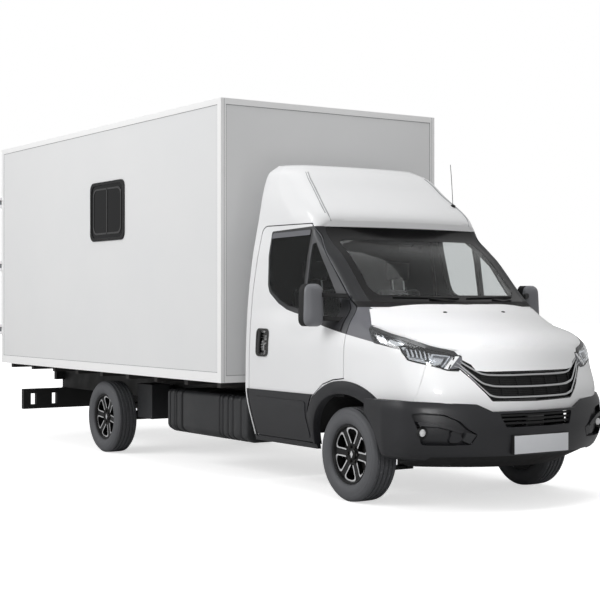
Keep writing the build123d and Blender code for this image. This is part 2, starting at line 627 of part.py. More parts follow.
def make_axles():
    for name, side in (("right", -1), ("left", 1)):
        spindle = rod_y(0, AXLE_Z, HUB_BORE_R - HUB_FIT, KINGPIN_Y, HALF_TRACK + 48)
        upright = block((-38, 38), (KINGPIN_Y - 30, KINGPIN_Y + 35), (AXLE_Z - 110, AXLE_Z + 110))
        arm = block((-170, -30), (KINGPIN_Y - 30, KINGPIN_Y - 5), (AXLE_Z - 70, AXLE_Z - 45))
        disc_y = (HALF_TRACK + HUB_BACK_Y - DISC_T, HALF_TRACK + HUB_BACK_Y)
        caliper = block((-DISC_R - 25, -85), (disc_y[0] - 40, disc_y[0] - CALIPER_FIT), (AXLE_Z - 45, AXLE_Z + 55))
        bridge = block((-DISC_R - 25, -DISC_R - CALIPER_FIT), (disc_y[0] - 10, disc_y[1]), (AXLE_Z - 35, AXLE_Z + 35))
        carrier = block((-DISC_R, -20), (KINGPIN_Y, disc_y[0] - 35), (AXLE_Z - 25, AXLE_Z + 25))
        knuckle = fused(spindle, upright, arm, carrier, caliper, bridge)
        save(f"steering_knuckle_{name}", knuckle if side > 0 else mirrored(knuckle))
    cross = block((-70, 70), (-430, 430), (250, 330))
    pieces = [cross]
    for side in (-1, 1):
        for z, half in ((AXLE_Z - 123 - SEAT_FIT, 13), (AXLE_Z + 123 + SEAT_FIT, 13)):
            low, high = sorted((side * 380, side * (KINGPIN_Y + 10)))
            pieces.append(block((-45, 45), (low, high), (z - half, z + half)))
        low, high = sorted((side * 380, side * 440))
        pieces.append(block((-60, 60), (low, high), (215, RAIL_Z[0])))
        pieces.append(rod((0, side * 545, AXLE_Z - 125), (0, side * 480, RAIL_Z[0] + 60), 27))
    save("front_suspension", fused(*pieces))

    rear_x = -WHEELBASE
    axle = rod_y(rear_x, AXLE_Z, 45, -(HALF_TRACK - 95), HALF_TRACK - 95)
    stubs = [rod_y(rear_x, AXLE_Z, HUB_BORE_R - HUB_FIT, -(HALF_TRACK + 48), HALF_TRACK + 48)]
    housing = differential()
    springs = []
    for side in (-1, 1):
        low, high = sorted((side * 480, side * 550))
        springs.append(slab_y([(rear_x - 700, 520), (rear_x - 350, 445), (rear_x, 400), (rear_x + 350, 445), (rear_x + 700, 520),
                               (rear_x + 700, 545), (rear_x + 350, 485), (rear_x, 450), (rear_x - 350, 485), (rear_x - 700, 545)], low, high))
        springs.append(block((rear_x - 60, rear_x + 60), (low, high), (AXLE_Z, 410)))
        for x in (rear_x - 700, rear_x + 700):
            low_b, high_b = sorted((side * (RAIL_Y + RAIL_FLANGE), side * 550))
            springs.append(block((x - 30, x + 30), (low_b, high_b), (520, 620)))
    save("rear_axle", fused(axle, *stubs, housing, *springs))


def make_chassis():
    """Ladder frame: each rail with its cab mounts, each cross-member and the end beam is a piece of its own."""
    inner_y, outer_y = RAIL_Y, RAIL_Y + RAIL_FLANGE
    rails = []
    for side in (-1, 1):
        low, high = sorted((side * inner_y, side * outer_y))
        rail = block(RAIL_X, (low, high), RAIL_Z)
        gap_low, gap_high = sorted((side * (inner_y - 1), side * (outer_y - RAIL_T)))
        rail = rail - block((RAIL_X[0] - 1, RAIL_X[1] + 1), (gap_low, gap_high), (RAIL_Z[0] + RAIL_T, RAIL_Z[1] - RAIL_T))
        mounts = [block((x - 40, x + 40), (low, high), (RAIL_Z[1], CAB_FLOOR_Z - CAB_FLOOR_T)) for x in CAB_MOUNT_XS]
        rails.append(fused(rail, *mounts))
    reach = outer_y - RAIL_T
    crosses = [rod_y(x, CROSS_Z, CROSS_R, -reach, reach) for x in CROSS_XS]
    front = block((RAIL_X[1] - 40, RAIL_X[1] + 40), (-560, 560), (560, 680))
    tow_eye = rod((RAIL_X[1] - 60, TOW_EYE_Y, 620), (RAIL_X[1] + 41, TOW_EYE_Y, 620), TOW_EYE_R)
    front = front - tow_eye
    end_plate = block((RAIL_X[0], RAIL_X[0] + 12), (-inner_y, inner_y), RAIL_Z)
    for y in (-HITCH_Y / 2, HITCH_Y / 2):
        for z in (-HITCH_Z / 2, HITCH_Z / 2):
            end_plate = end_plate - rod((RAIL_X[0] - 5, y, sum(RAIL_Z) / 2 + z), (RAIL_X[0] + 20, y, sum(RAIL_Z) / 2 + z), HITCH_HOLE_R)
    beam_x = (RAIL_X[0], RAIL_X[0] + END_BEAM_T)
    beam_ends = [block(beam_x, sorted((side * outer_y, side * END_BEAM_HALF)), END_BEAM_Z) for side in (-1, 1)]
    rails = [rail - front for rail in rails]
    save("chassis_frame", *rails, *crosses, front, end_plate, *beam_ends)

    engine = block((-20, 500), (-250, 250), (420, 1080))
    gearbox = block((-760, -20), (-130, 130), (400, 590))
    save("engine_and_gearbox", fused(engine, gearbox))
    shaft = rod((-740, 0, 480), (-WHEELBASE + DIFFERENTIAL_R - 20, 0, AXLE_Z + 10), 38)
    save("propshaft", shaft - gearbox - differential())
    exhaust_pipe = rod((-700, 130 + PIPE_R + SEAT_FIT, 430), (-2310, 240, 430), PIPE_R)
    silencer = slab_x([(150, 350, 60), (330, 350, 60), (330, 500, 60), (150, 500, 60)], -2300, -3000)
    tail = rod((-2990, 240, 430), (-3500, 240, 430), PIPE_R)
    hanger = block((-2325, -2305), (230, 250), (490, 610 - 40 - SEAT_FIT))
    save("exhaust", fused(exhaust_pipe, silencer, tail, hanger))

    tank = slab_x([(-925, 350, 60), (-925, 690, 40), (-480, 690, 20), (-480, 305, 50), (-850, 305, 60)], -2840, -1450)
    for x in (-2560, -1846, -1682, -1553):
        tank = tank - (block((x - 12, x + 12), (-1000, -400), (200, 800)) - slab_x([(-913, 350, 60), (-913, 678, 40), (-400, 678), (-400, 317), (-850, 317, 60)], -2900, -1400))
    hangers = [block((x - 20, x + 20), (-480, -(RAIL_Y + RAIL_FLANGE)), (560, 660)) for x in (-2650, -1650)]
    save("fuel_tank", fused(tank, *hangers))
    case = block((-3735, -3440), (-760, -565), (360, 690))
    bracket = block((-3620, -3560), (-565, -(RAIL_Y + RAIL_FLANGE)), (630, 670))
    save("equipment_case", fused(case, bracket))
    bar_x = (UNDERRUN_X - 30, UNDERRUN_X + 30)
    bar = block(bar_x, (-UNDERRUN_HALF, UNDERRUN_HALF), UNDERRUN_Z)
    for low, high in UNDERRUN_WINDOWS:
        for side in (-1, 1):
            bar = bar - block((UNDERRUN_X - 40, UNDERRUN_X + 40), sorted((side * low, side * high)), UNDERRUN_WINDOW_Z)
    legs = [block(bar_x, sorted((side * 400, side * 460)), (UNDERRUN_Z[1], RAIL_Z[0])) for side in (-1, 1)]
    save("rear_underrun", fused(bar, *legs))


REAR_END_X = BOX_REAR_X - max(DOOR_AXIS_BACK + HINGE_PIN_R, LEVER_PROUD)


def main():
    os.makedirs("parts", exist_ok=True)
    grille_zone = make_cab()
    make_cladding()
    make_bumper(grille_zone)
    make_liners()
    make_mirrors()
    make_interior()
    make_box()
    make_wheels()
    make_axles()
    make_chassis()


main()
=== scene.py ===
import json
from bisect import bisect_right
from math import ceil, cos, pi, radians, sin, tan

import bmesh
import bpy
from mathutils import Matrix, Vector
from mathutils.bvhtree import BVHTree

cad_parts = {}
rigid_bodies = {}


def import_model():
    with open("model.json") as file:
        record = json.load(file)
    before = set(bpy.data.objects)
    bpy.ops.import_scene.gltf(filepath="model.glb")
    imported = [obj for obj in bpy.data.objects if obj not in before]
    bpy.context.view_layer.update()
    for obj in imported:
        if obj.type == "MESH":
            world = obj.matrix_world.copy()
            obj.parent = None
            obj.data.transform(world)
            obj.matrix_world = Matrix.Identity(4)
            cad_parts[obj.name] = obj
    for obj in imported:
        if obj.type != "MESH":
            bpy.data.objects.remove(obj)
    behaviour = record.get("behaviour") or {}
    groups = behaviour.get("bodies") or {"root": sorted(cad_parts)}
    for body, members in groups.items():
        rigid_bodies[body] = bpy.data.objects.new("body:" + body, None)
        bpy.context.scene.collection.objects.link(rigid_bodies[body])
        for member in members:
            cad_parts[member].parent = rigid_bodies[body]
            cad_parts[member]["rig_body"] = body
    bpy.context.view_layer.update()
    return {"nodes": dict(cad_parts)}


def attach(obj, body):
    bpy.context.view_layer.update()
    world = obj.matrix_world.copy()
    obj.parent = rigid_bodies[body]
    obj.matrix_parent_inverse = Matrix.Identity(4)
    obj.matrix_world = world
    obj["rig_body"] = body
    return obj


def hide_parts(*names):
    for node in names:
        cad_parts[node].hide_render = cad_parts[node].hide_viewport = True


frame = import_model()

# Shapes are worked out in millimetres: X forward from the front axle, Y left, Z up from the ground.
MM = 0.001
AXLE_X = 2634.5
TO_SHARED_FRAME = Matrix.Translation((AXLE_X * MM, 0, 0)) @ Matrix.Scale(MM, 4)
MIRROR = Matrix.Scale(-1, 4, (0, 1, 0))
RIGHT, LEFT = -1, 1
SIDES = (RIGHT, LEFT)
NAMES = {RIGHT: "right", LEFT: "left"}

# ---------------------------------------------------------------- materials


def linear(colour):
    """sRGB hex to linear RGBA."""
    channels = [int(colour[i:i + 2], 16) / 255 for i in (1, 3, 5)]
    return [c / 12.92 if c <= 0.04045 else ((c + 0.055) / 1.055) ** 2.4 for c in channels] + [1]


def node(tree, kind, sockets=(), **settings):
    """Adds a node: settings are its properties; sockets maps an input to a value or to a feeding output."""
    made = tree.nodes.new("ShaderNode" + kind)
    for key, value in settings.items():
        setattr(made, key, value)
    for key, value in dict(sockets).items():
        if isinstance(value, bpy.types.NodeSocket):
            tree.links.new(value, made.inputs[key])
        else:
            made.inputs[key].default_value = value
    return made


def begin(name):
    """An empty material with its tree and object coordinates."""
    made = bpy.data.materials.new(name)
    made.use_nodes = True
    made.node_tree.nodes.clear()
    return made, made.node_tree, node(made.node_tree, "TexCoord").outputs["Object"]


def shaded(made, tree, sockets, relief, constants=()):
    """Ends a material in a Principled shader with a (height, distance in mm) bump and fixed inputs."""
    sockets = {**sockets, **{key.replace("_", " "): value for key, value in dict(constants).items()}}
    bump = node(tree, "Bump", {"Height": relief[0], "Distance": relief[1] * MM, "Strength": 1.0})
    shader = node(tree, "BsdfPrincipled", {**sockets, "Normal": bump.outputs[0]})
    node(tree, "OutputMaterial", {"Surface": shader.outputs[0]})
    return made


def mixed(tree, factor, first, second):
    """Colour between two hex colours."""
    ends = {"Factor": factor, "A": linear(first), "B": linear(second)}
    return node(tree, "Mix", ends, data_type="RGBA").outputs["Result"]


def grained(name, colours, patch_mm, rough, grain_mm, relief_mm, **constants):
    """Moulded, cast or coated stuff: near colours in soft patches, uneven gloss and a grain of real size."""
    made, tree, place = begin(name)
    patches = node(tree, "TexNoise", {"Vector": place, "Scale": 1 / (patch_mm * MM),
                                      "Detail": 3.0}).outputs[0]
    grain = node(tree, "TexNoise", {"Vector": place, "Scale": 1 / (grain_mm * MM), "Detail": 4.0}).outputs[0]
    gloss = node(tree, "MapRange", {"Value": patches, "From Min": 0.3, "From Max": 0.7, "To Min": rough[0],
                                    "To Max": rough[1]})
    sockets = {"Base Color": mixed(tree, patches, *colours), "Roughness": gloss.outputs[0]}
    return shaded(made, tree, sockets, (grain, relief_mm), constants)


def pebbled(name, colours, rough, pebble_mm, relief_mm, **constants):
    """Leather-like grain pressed into a moulding: rounded cells on a soft-patched colour."""
    made, tree, place = begin(name)
    cells = node(tree, "TexVoronoi", {"Vector": place, "Scale": 1 / (pebble_mm * MM)},
                 feature="SMOOTH_F1").outputs["Distance"]
    patches = node(tree, "TexNoise", {"Vector": place, "Scale": 6.0, "Detail": 3.0}).outputs[0]
    gloss = node(tree, "MapRange", {"Value": patches, "To Min": rough[0], "To Max": rough[1]})
    sockets = {"Base Color": mixed(tree, patches, *colours), "Roughness": gloss.outputs[0]}
    return shaded(made, tree, sockets, (cells, relief_mm), constants)


def clear(name, tint, rough, ior, ripple_mm, weight=1.0):
    """Glass or clear plastic, with the faint ripple of its making."""
    made, tree, place = begin(name)
    ripple = node(tree, "TexNoise", {"Vector": place, "Scale": 1 / (180 * MM), "Detail": 1.0}).outputs[0]
    sockets = {"Base Color": linear(tint), "Roughness": rough, "IOR": ior, "Transmission Weight": weight}
    return shaded(made, tree, sockets, (ripple, ripple_mm))


def woven(name, colours, thread_mm, relief_mm):
    """Flat-woven polyester seat cloth: two crossing sets of threads, matt with a soft sheen."""
    made, tree, place = begin(name)
    waves = {"Vector": place, "Scale": 0.31 / (thread_mm * MM), "Distortion": 0.4}
    warp, weft = [node(tree, "TexWave", waves, bands_direction=way).outputs["Fac"]
                  for way in ("Y", "DIAGONAL")]
    cloth = node(tree, "Math", {0: warp, 1: weft}, operation="MULTIPLY").outputs[0]
    fleck = node(tree, "TexNoise", {"Vector": place, "Scale": 1 / (30 * MM), "Detail": 5.0}).outputs[0]
    both = node(tree, "Math", {0: cloth, 1: fleck}, operation="MULTIPLY").outputs[0]
    sockets = {"Base Color": mixed(tree, both, *colours), "Roughness": 0.9, "Sheen Weight": 0.3,
               "Sheen Roughness": 0.5}
    return shaded(made, tree, sockets, (cloth, relief_mm))


# White two-coat enamel, sprayed and clear-coated: even white, deep gloss, its fine orange peel drawn at 9 mm.
PAINT = grained("white_enamel_sprayed", ("#f2f2f3", "#eaebec"), 700, (0.32, 0.42), 9, 0.05,
                Coat_Weight=0.7, Coat_Roughness=0.06, IOR=1.5)
# Glass-fibre sandwich panel with gelcoat: flat white with a faint print of the fibre behind it, 60 mm waves.
PANEL = grained("gelcoat_panel_pressed", ("#efefef", "#e6e7e8"), 900, (0.34, 0.46), 60, 0.06,
                Coat_Weight=0.25, Coat_Roughness=0.2, IOR=1.5)
# Powder-coated aluminium extrusion: white, slightly finer gloss than the panel, 4 mm orange peel.
EXTRUSION = grained("powder_coated_aluminium_extruded", ("#fdfdfd", "#f8f8f8"), 400, (0.3, 0.4), 4,
                    0.03, IOR=1.5)
# Polypropylene, moulded in colour: dark grey, satin, 3 mm leather grain.
BUMPER_PLASTIC = pebbled("polypropylene_grained", ("#202124", "#29292c"), (0.3, 0.42), 3, 0.10, IOR=1.49)
# The same plastic on upper trims, a shade lighter and smoother.
PILLAR_PLASTIC = grained("polypropylene_satin", ("#28292b", "#303133"), 200, (0.4, 0.52), 2, 0.02, IOR=1.49)
# Mirror covers: the same plastic, painted a lighter grey.
MIRROR_PLASTIC = grained("polypropylene_light", ("#727377", "#7c7d81"), 200, (0.36, 0.48), 2, 0.02, IOR=1.49)
# Grey fender infill, moulded and painted matt.
GREY_TRIM = grained("abs_painted_matt_grey", ("#5d5e63", "#66676c"), 260, (0.4, 0.5), 2.5, 0.02, IOR=1.53)
# The frame of the quarter light, a shade darker than the fender infill.
QUARTER_TRIM = grained("abs_painted_satin_grey", ("#3e3f42", "#47484b"), 260, (0.36, 0.46), 2.5,
                       0.02, IOR=1.53)
# ABS with a polished black finish.
GLOSS_BLACK = grained("abs_gloss_black", ("#0c0c0d", "#141415"), 90, (0.12, 0.2), 6, 0.01, Coat_Weight=0.6,
                      Coat_Roughness=0.05, IOR=1.53)
# Black moulding in shade, such as scuttle and grille backs: rough, fine grain.
MATT_BLACK = grained("polypropylene_matt_black", ("#101011", "#19191a"), 60, (0.6, 0.75), 2, 0.05, IOR=1.49)
# Chrome-plated plastic: bright, slightly soft.
CHROME = grained("abs_chrome_plated", ("#d9dadc", "#e6e7e8"), 150, (0.1, 0.18), 8, 0.01, Metallic=1.0)
# Aluminium reflector coat inside the lamps.
REFLECTOR = grained("aluminised_reflector", ("#b9bbbf", "#d7d8db"), 40, (0.15, 0.3), 12, 0.3, Metallic=1.0)
# Clear polycarbonate lamp cover, hard-coated.
LAMP_COVER = clear("polycarbonate_clear", "#f4f6f8", 0.02, 1.58, 0.02)
# Milky acrylic light guide, lit by daylight only.
LIGHT_GUIDE = grained("acrylic_milky", ("#e6e8ea", "#f4f5f6"), 30, (0.2, 0.3), 5, 0.05, IOR=1.49)
# Laminated windscreen glass, lightly grey, coated against glare, which lowers its IOR from 1.52.
SCREEN_GLASS = clear("laminated_glass_coated", "#e2e4e4", 0.0, 1.22, 0.02)
# Side glass, toughened and grey, with the same coating.
SIDE_GLASS = clear("toughened_glass_coated", "#d6d9d9", 0.0, 1.2, 0.02)
# Privacy glass of the box windows: nearly black from outside.
DARK_GLASS = clear("privacy_glass_dark", "#0d0e10", 0.03, 1.3, 0.03, weight=0.3)
# Black ceramic print baked on the glass edge.
FRIT = grained("ceramic_frit_baked", ("#0e0e0f", "#131314"), 80, (0.12, 0.2), 3, 0.005, IOR=1.52)
# EPDM rubber, extruded: black and dull.
RUBBER = grained("epdm_rubber_extruded", ("#141414", "#1e1e1f"), 50, (0.6, 0.8), 2, 0.05, IOR=1.5)
# Tyre rubber: carbon black with a dusty bloom.
TYRE = grained("tyre_rubber_vulcanised", ("#535457", "#5f6063"), 70, (0.55, 0.75), 2.5, 0.08, IOR=1.5)
# Wheel: cast aluminium, black enamel in the hollows.
WHEEL_BLACK = grained("cast_aluminium_black_enamel", ("#0b0b0c", "#121213"), 40, (0.35, 0.45), 3, 0.02,
                      Coat_Weight=0.12, Coat_Roughness=0.15, Specular_IOR_Level=0.3)
# Diamond-turned aluminium face: bright with fine turning marks, drawn at 2 mm.
WHEEL_BRIGHT = grained("aluminium_diamond_turned", ("#ecedef", "#f8f8f9"), 60, (0.34, 0.46), 2, 0.02,
                       Metallic=1.0)
# Cast iron disc and caliper: grey, rust-tinged, rough from the sand.
IRON = grained("cast_iron_machined", ("#2d2c2b", "#3b3937"), 35, (0.45, 0.65), 4, 0.12, Metallic=0.8)
# Chassis in black dip primer: satin, with road dust.
CHASSIS = grained("steel_black_dip_coated", ("#141516", "#242423"), 160, (0.45, 0.65), 8, 0.08, IOR=1.5)
# Zinc-plated steel of the rear doors' hinges and the head restraints' posts.
STEEL = grained("steel_zinc_plated", ("#8d8f90", "#a4a6a7"), 40, (0.3, 0.5), 14, 0.03, Metallic=1.0)
# Aluminised exhaust steel: dull silver browned by heat.
EXHAUST = grained("steel_aluminised", ("#6c6862", "#8f8b84"), 120, (0.35, 0.55), 10, 0.06, Metallic=0.9)
# Engine castings, aluminium: pale grey and grainy.
CASTING = grained("aluminium_sand_cast", ("#6f7071", "#86878a"), 60, (0.5, 0.65), 3, 0.25, Metallic=0.7)
# Blow-moulded tank plastic, and the felted plastic of the wheel liners.
TANK = grained("polyethylene_blow_moulded", ("#27282a", "#323335"), 240, (0.4, 0.58), 20, 0.15, IOR=1.5)
LINER = grained("polypropylene_felt_liner", ("#131314", "#1c1c1d"), 60, (0.8, 0.95), 4, 0.3, IOR=1.49)
# Cab trim: dark grey moulding with leather grain, and headlining felt.
DASH = pebbled("polypropylene_leather_grain", ("#1d1e20", "#26272a"), (0.55, 0.7), 2.5, 0.12, IOR=1.49)
# Headlining felt: a dark grey felt made near black as painted shade, so that window light falling inside the
# cab leaves no pale patch.
FELT_DARKENED_AS_SHADE = grained("polyester_felt_painted_shade", ("#131416", "#191a1c"), 25, (0.9, 1.0), 2, 0.12, Sheen_Weight=0.2)
# Seat cloth, woven; thread 1.2 mm drawn at 5 mm so that it shows.
CLOTH = woven("polyester_cloth_woven", ("#161719", "#34363a"), 5, 0.35)
BOLSTER = woven("polyester_cloth_bolster", ("#101113", "#222427"), 5, 0.3)
# Box floor: phenolic plywood with a wire-mesh print, 6 mm pitch.
FLOOR = pebbled("phenolic_plywood_mesh", ("#2e2c2b", "#3a3837"), (0.5, 0.65), 6, 0.3, IOR=1.5)
# Acrylic lamp lenses, moulded with ribs.
RED_LENS = grained("acrylic_red", ("#8f0f10", "#a51416"), 25, (0.1, 0.2), 5, 0.25, IOR=1.49, Coat_Weight=0.5)
AMBER_LENS = grained("acrylic_amber", ("#c46a08", "#d6790c"), 25, (0.1, 0.2), 5, 0.25, IOR=1.49,
                     Coat_Weight=0.5)
# Plate blank: retro-reflective sheet on aluminium, left bare.
PLATE = grained("reflective_sheet_bare", ("#dee0e4", "#e5e7ea"), 120, (0.35, 0.45), 2, 0.01)
# Polished fog-lamp lens.
FOG = grained("glass_pressed", ("#e9ebec", "#ffffff"), 20, (0.05, 0.1), 6, 0.2, IOR=1.52, Coat_Weight=1.0)
# Mirror glass: silvered.
SILVER = grained("mirror_silvered", ("#c9cccf", "#d5d8da"), 300, (0.02, 0.03), 60, 0.002, Metallic=1.0)
# Anodised aluminium of the rear doors' lock rods and levers.
ANODISED = grained("aluminium_anodised", ("#a9abad", "#bcbec0"), 90, (0.28, 0.4), 3, 0.01, Metallic=1.0)

# ---------------------------------------------------------------- making meshes
WELD = 0.02                                                  # corners nearer than this, in mm, are one
FLAT = 1                                                     # faces that meet at less, in degrees, are one


def in_scene(name, data):
    """A new object, linked into the scene."""
    made = bpy.data.objects.new(name, data)
    bpy.context.scene.collection.objects.link(made)
    return made


def as_bmesh(*meshes):
    """Meshes opened as one bmesh."""
    bm = bmesh.new()
    for mesh in meshes:
        bm.from_mesh(mesh)
    return bm


def as_mesh(bm):
    """A bmesh closed as a mesh."""
    mesh = bpy.data.meshes.new("part")
    bm.to_mesh(mesh)
    bm.free()
    return mesh


def closed(bm):
    """The mesh of a bmesh, its doubles merged and its faces pointing outwards."""
    bmesh.ops.remove_doubles(bm, verts=bm.verts, dist=WELD)
    bmesh.ops.recalc_face_normals(bm, faces=bm.faces)
    return as_mesh(bm)


def surface(mesh):
    """Search tree of a mesh, for lines that meet it."""
    bm = as_bmesh(mesh)
    tree = BVHTree.FromBMesh(bm)
    bm.free()
    return tree


def evaluated(holder):
    """The mesh of an object after its modifiers."""
    return bpy.data.meshes.new_from_object(holder.evaluated_get(bpy.context.evaluated_depsgraph_get()))


def lofted(loops):
    """Closed skin through loops of equal point count, flat at its ends."""
    bm = bmesh.new()
    rings = []
    for loop in loops:
        corners = [bm.verts.new(point) for point in loop]
        rings.append([bm.edges.new((corners[i - 1], corners[i])) for i in range(len(corners))])
    for lower, upper in zip(rings, rings[1:]):
        bmesh.ops.bridge_loops(bm, edges=lower + upper)
    for end in (rings[0], rings[-1]):
        bmesh.ops.edgeloop_fill(bm, edges=end)
    return closed(bm)


def rounded(outline, steps=5):
    """Corners of a flat outline; a corner may carry a radius, and becomes an arc."""
    points = []
    for i, corner in enumerate(outline):
        here = Vector(corner[:2])
        back = (Vector(outline[i - 1][:2]) - here).normalized()
        ahead = (Vector(outline[(i + 1) % len(outline)][:2]) - here).normalized()
        if len(corner) < 3:
            points.append(here)
            continue
        half = back.angle(ahead) / 2
        start = here + back * corner[2] / tan(half)
        middle = here + (back + ahead).normalized() * corner[2] / sin(half)
        turn = (pi - 2 * half) * (1 if back.cross(ahead) < 0 else -1)
        for k in range(steps + 1):
            points.append(middle + Matrix.Rotation(turn * k / steps, 2) @ (start - middle))
    return points


def prism(outline, axis, low, high):
    """Flat outline pushed along an axis. Across X it is (y, z), across Y (x, z) and across Z (x, y)."""
    column = "XYZ".index(axis)

    def across_axis(value, a, b):
        return (a, b)[:column] + (value,) + (a, b)[column:]

    bm = bmesh.new()
    face = bm.faces.new([bm.verts.new(across_axis(low, *point)) for point in rounded(outline)])
    pushed = bmesh.ops.extrude_face_region(bm, geom=[face])["geom"]
    pushed = [v for v in pushed if isinstance(v, bmesh.types.BMVert)]
    bmesh.ops.translate(bm, vec=across_axis(high - low, 0, 0), verts=pushed)
    return closed(bm)


def bar(x, y, z, edge=0):
    """Rectangular bar from three (low, high) pairs, with its edges rounded."""
    bm = bmesh.new()
    bmesh.ops.create_cube(bm, size=1)
    bmesh.ops.scale(bm, vec=[abs(b - a) for a, b in (x, y, z)], verts=bm.verts)
    bmesh.ops.translate(bm, vec=[(a + b) / 2 for a, b in (x, y, z)], verts=bm.verts)
    if edge:
        bmesh.ops.bevel(bm, geom=bm.edges, offset=edge, affect="EDGES", segments=3, profile=0.5, material=-1)
    return closed(bm)


def spun(profile, steps):
    """Profile rows (distance along the axis, radius) spun about the Y axis, as a bmesh."""
    bm = bmesh.new()
    corners = [bm.verts.new((radius, along, 0)) for along, radius in profile]
    edges = [bm.edges.new((a, b)) for a, b in zip(corners, corners[1:])]
    bmesh.ops.spin(bm, geom=corners + edges, cent=(0, 0, 0), axis=(0, 1, 0), angle=2 * pi, steps=steps,
                   use_merge=True)
    return bm


def turned(profile, axis_point=(0, 0, 0), axis="Y", steps=64):
    """Body of revolution about an axis through a point; profile rows are (along the axis, radius)."""
    bm = spun(profile, steps)
    if axis == "X":
        bmesh.ops.rotate(bm, cent=(0, 0, 0), matrix=Matrix.Rotation(-pi / 2, 3, "Z"), verts=bm.verts)
    if axis == "Z":
        bmesh.ops.rotate(bm, cent=(0, 0, 0), matrix=Matrix.Rotation(pi / 2, 3, "X"), verts=bm.verts)
    bmesh.ops.translate(bm, vec=axis_point, verts=bm.verts)
    return closed(bm)


def swept(path, section, up=(0, 0, 1)):
    """A section carried along a path. Its rows are (across, up); across is to the path's left from above."""
    path = [Vector(p) for p in path]
    loops = []
    for i, point in enumerate(path):
        behind, ahead = path[max(i - 1, 0)], path[min(i + 1, len(path) - 1)]
        run = (ahead - behind).normalized()
        side = Vector(up).cross(run).normalized()
        rise = run.cross(side)
        loops.append([point + side * a + rise * b for a, b in section])
    return lofted(loops)


def pipe(path, radius, steps=12, up=(0, 0, 1)):
    """Round bar along a path."""
    turns = [2 * pi * k / steps for k in range(steps)]
    return swept(path, [(radius * cos(turn), radius * sin(turn)) for turn in turns], up)


def smooth_path(points, steps=8):
    """Rounded curve through points (Catmull-Rom)."""
    points = [Vector(p) for p in points]
    padded = [points[0] * 2 - points[1]] + points + [points[-1] * 2 - points[-2]]
    path = []
    for a, b, c, d in zip(padded, padded[1:], padded[2:], padded[3:]):
        for k in range(steps):
            t = k / steps
            bend, twist = a * 2 - b * 5 + c * 4 - d, b * 3 - a - c * 3 + d
            path.append((b * 2 + (c - a) * t + bend * t * t + twist * t ** 3) / 2)
    return path + [points[-1]]


def moved(mesh, matrix):
    """A copy of a mesh, placed by a matrix, still facing outwards."""
    copy = mesh.copy()
    copy.transform(matrix)
    if matrix.determinant() < 0:
        copy.flip_normals()
    return copy


def mirrored(mesh):
    return moved(mesh, MIRROR)


def together(*meshes):
    """Several meshes in one, without joining their skins."""
    return as_mesh(as_bmesh(*meshes))


def combined(base, tools, how):
    """Boolean of closed meshes: each tool in turn is cut away, or is all that is kept."""
    holders = [in_scene("holder", mesh) for mesh in (base, *tools)]
    for tool in holders[1:]:
        step = holders[0].modifiers.new("step", "BOOLEAN")
        step.object, step.operation, step.solver = tool, how, "MANIFOLD"
    made = evaluated(holders[0])
    for holder in holders:
        bpy.data.objects.remove(holder)
    return made


def less(base, *tools):
    return combined(base, tools, "DIFFERENCE")


def within(base, *tools):
    return combined(base, tools, "INTERSECT")


def piece(name, mesh, material, body="vehicle", slot=None, replaces=(), bevel=0, crease=32, subdivide=0):
    """Finishes a mesh in millimetres as a named piece: placed, smoothed, given its finish and its body."""
    made = in_scene(name, mesh)
    made.data.name = name
    made.data.transform(TO_SHARED_FRAME)
    made.data.materials.clear()
    made.data.materials.append(material)
    for face in made.data.polygons:
        face.material_index = 0
    made.data.shade_smooth()
    made.data.set_sharp_from_angle(angle=radians(crease))
    if bevel:
        edge = made.modifiers.new("edge", "BEVEL")
        edge.width, edge.segments = bevel * MM, 2
        edge.limit_method, edge.angle_limit = "ANGLE", radians(crease)
        edge.harden_normals = True
    if subdivide:
        fine = made.modifiers.new("fine", "SUBSURF")
        fine.levels = fine.render_levels = subdivide
    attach(made, body)
    if replaces:
        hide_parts(*replaces)
    return made


def dressed(name, material, bevel=2, **details):
    """A CAD node's own shape with its triangles merged and its edges rounded, in place of the plain solid."""
    source = frame["nodes"][name]
    bm = as_bmesh(source.data)
    bmesh.ops.remove_doubles(bm, verts=bm.verts, dist=WELD * MM)
    bmesh.ops.dissolve_limit(bm, angle_limit=radians(FLAT), verts=bm.verts, edges=bm.edges)
    mesh = as_mesh(bm)
    mesh.transform(TO_SHARED_FRAME.inverted())
    return piece(name + "_finished", mesh, material, source["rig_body"], bevel=bevel,
                 replaces=[name], **details)


# ---------------------------------------------------------------- the cab's skin
# Level sections: height, half width at the rear wall, side bend (x, half width), nose corner (x, half width),
# nose on the centre line (x), reach of the corner's rounding. The same rows as in the part's source.
CAB = [
    (350, 905, -100, 905, 800, 780, 930, 150),
    (800, 1007, -100, 1005, 835, 850, 992, 210),
    (1005, 1005, -100, 1002, 760, 885, 932, 230),
    (1130, 1002, -100, 998, 710, 900, 893, 230),
    (1229, 998, -100, 980, 570, 900, 795, 220),
    (1308, 994, -100, 950, 280, 900, 610, 170),
    (1440, 986, -100, 871, 60, 862, 250, 80),
    (1800, 945, -700, 883, -315, 845, -180, 60),
    (2067, 895, -900, 852, -590, 822, -512, 55),
    (2110, 886, -900, 850, -570, 800, -470, 110),
    (2400, 829, -1150, 805, -870, 735, -815, 150),
    (2530, 780, -1210, 760, -1025, 690, -970, 130),
    (2600, 680, -1270, 660, -1150, 570, -1100, 90),
]
BUMPER = [
    (297, 760, 400, 790, 640, 720, 905, 150),
    (400, 975, 480, 985, 780, 880, 1030, 190),
    (560, 1015, 500, 1015, 830, 910, 1045, 200),
    (720, 1025, 500, 1020, 820, 900, 1022, 200),
    (795, 1020, 500, 1012, 790, 880, 1000, 190),
]
LEVEL_STEP = 22                                              # height between two levels, at most
CAB_REAR_X, BUMPER_REAR_X = -1340, 300
SKIN, SKIN_DROP = 40, 30
AXLE_Z, WHEELBASE, HALF_TRACK = 349.5, 4100, 850
ARCH_R, LINER_ROOM_R = 450, 479
SHUT_GAP = 8
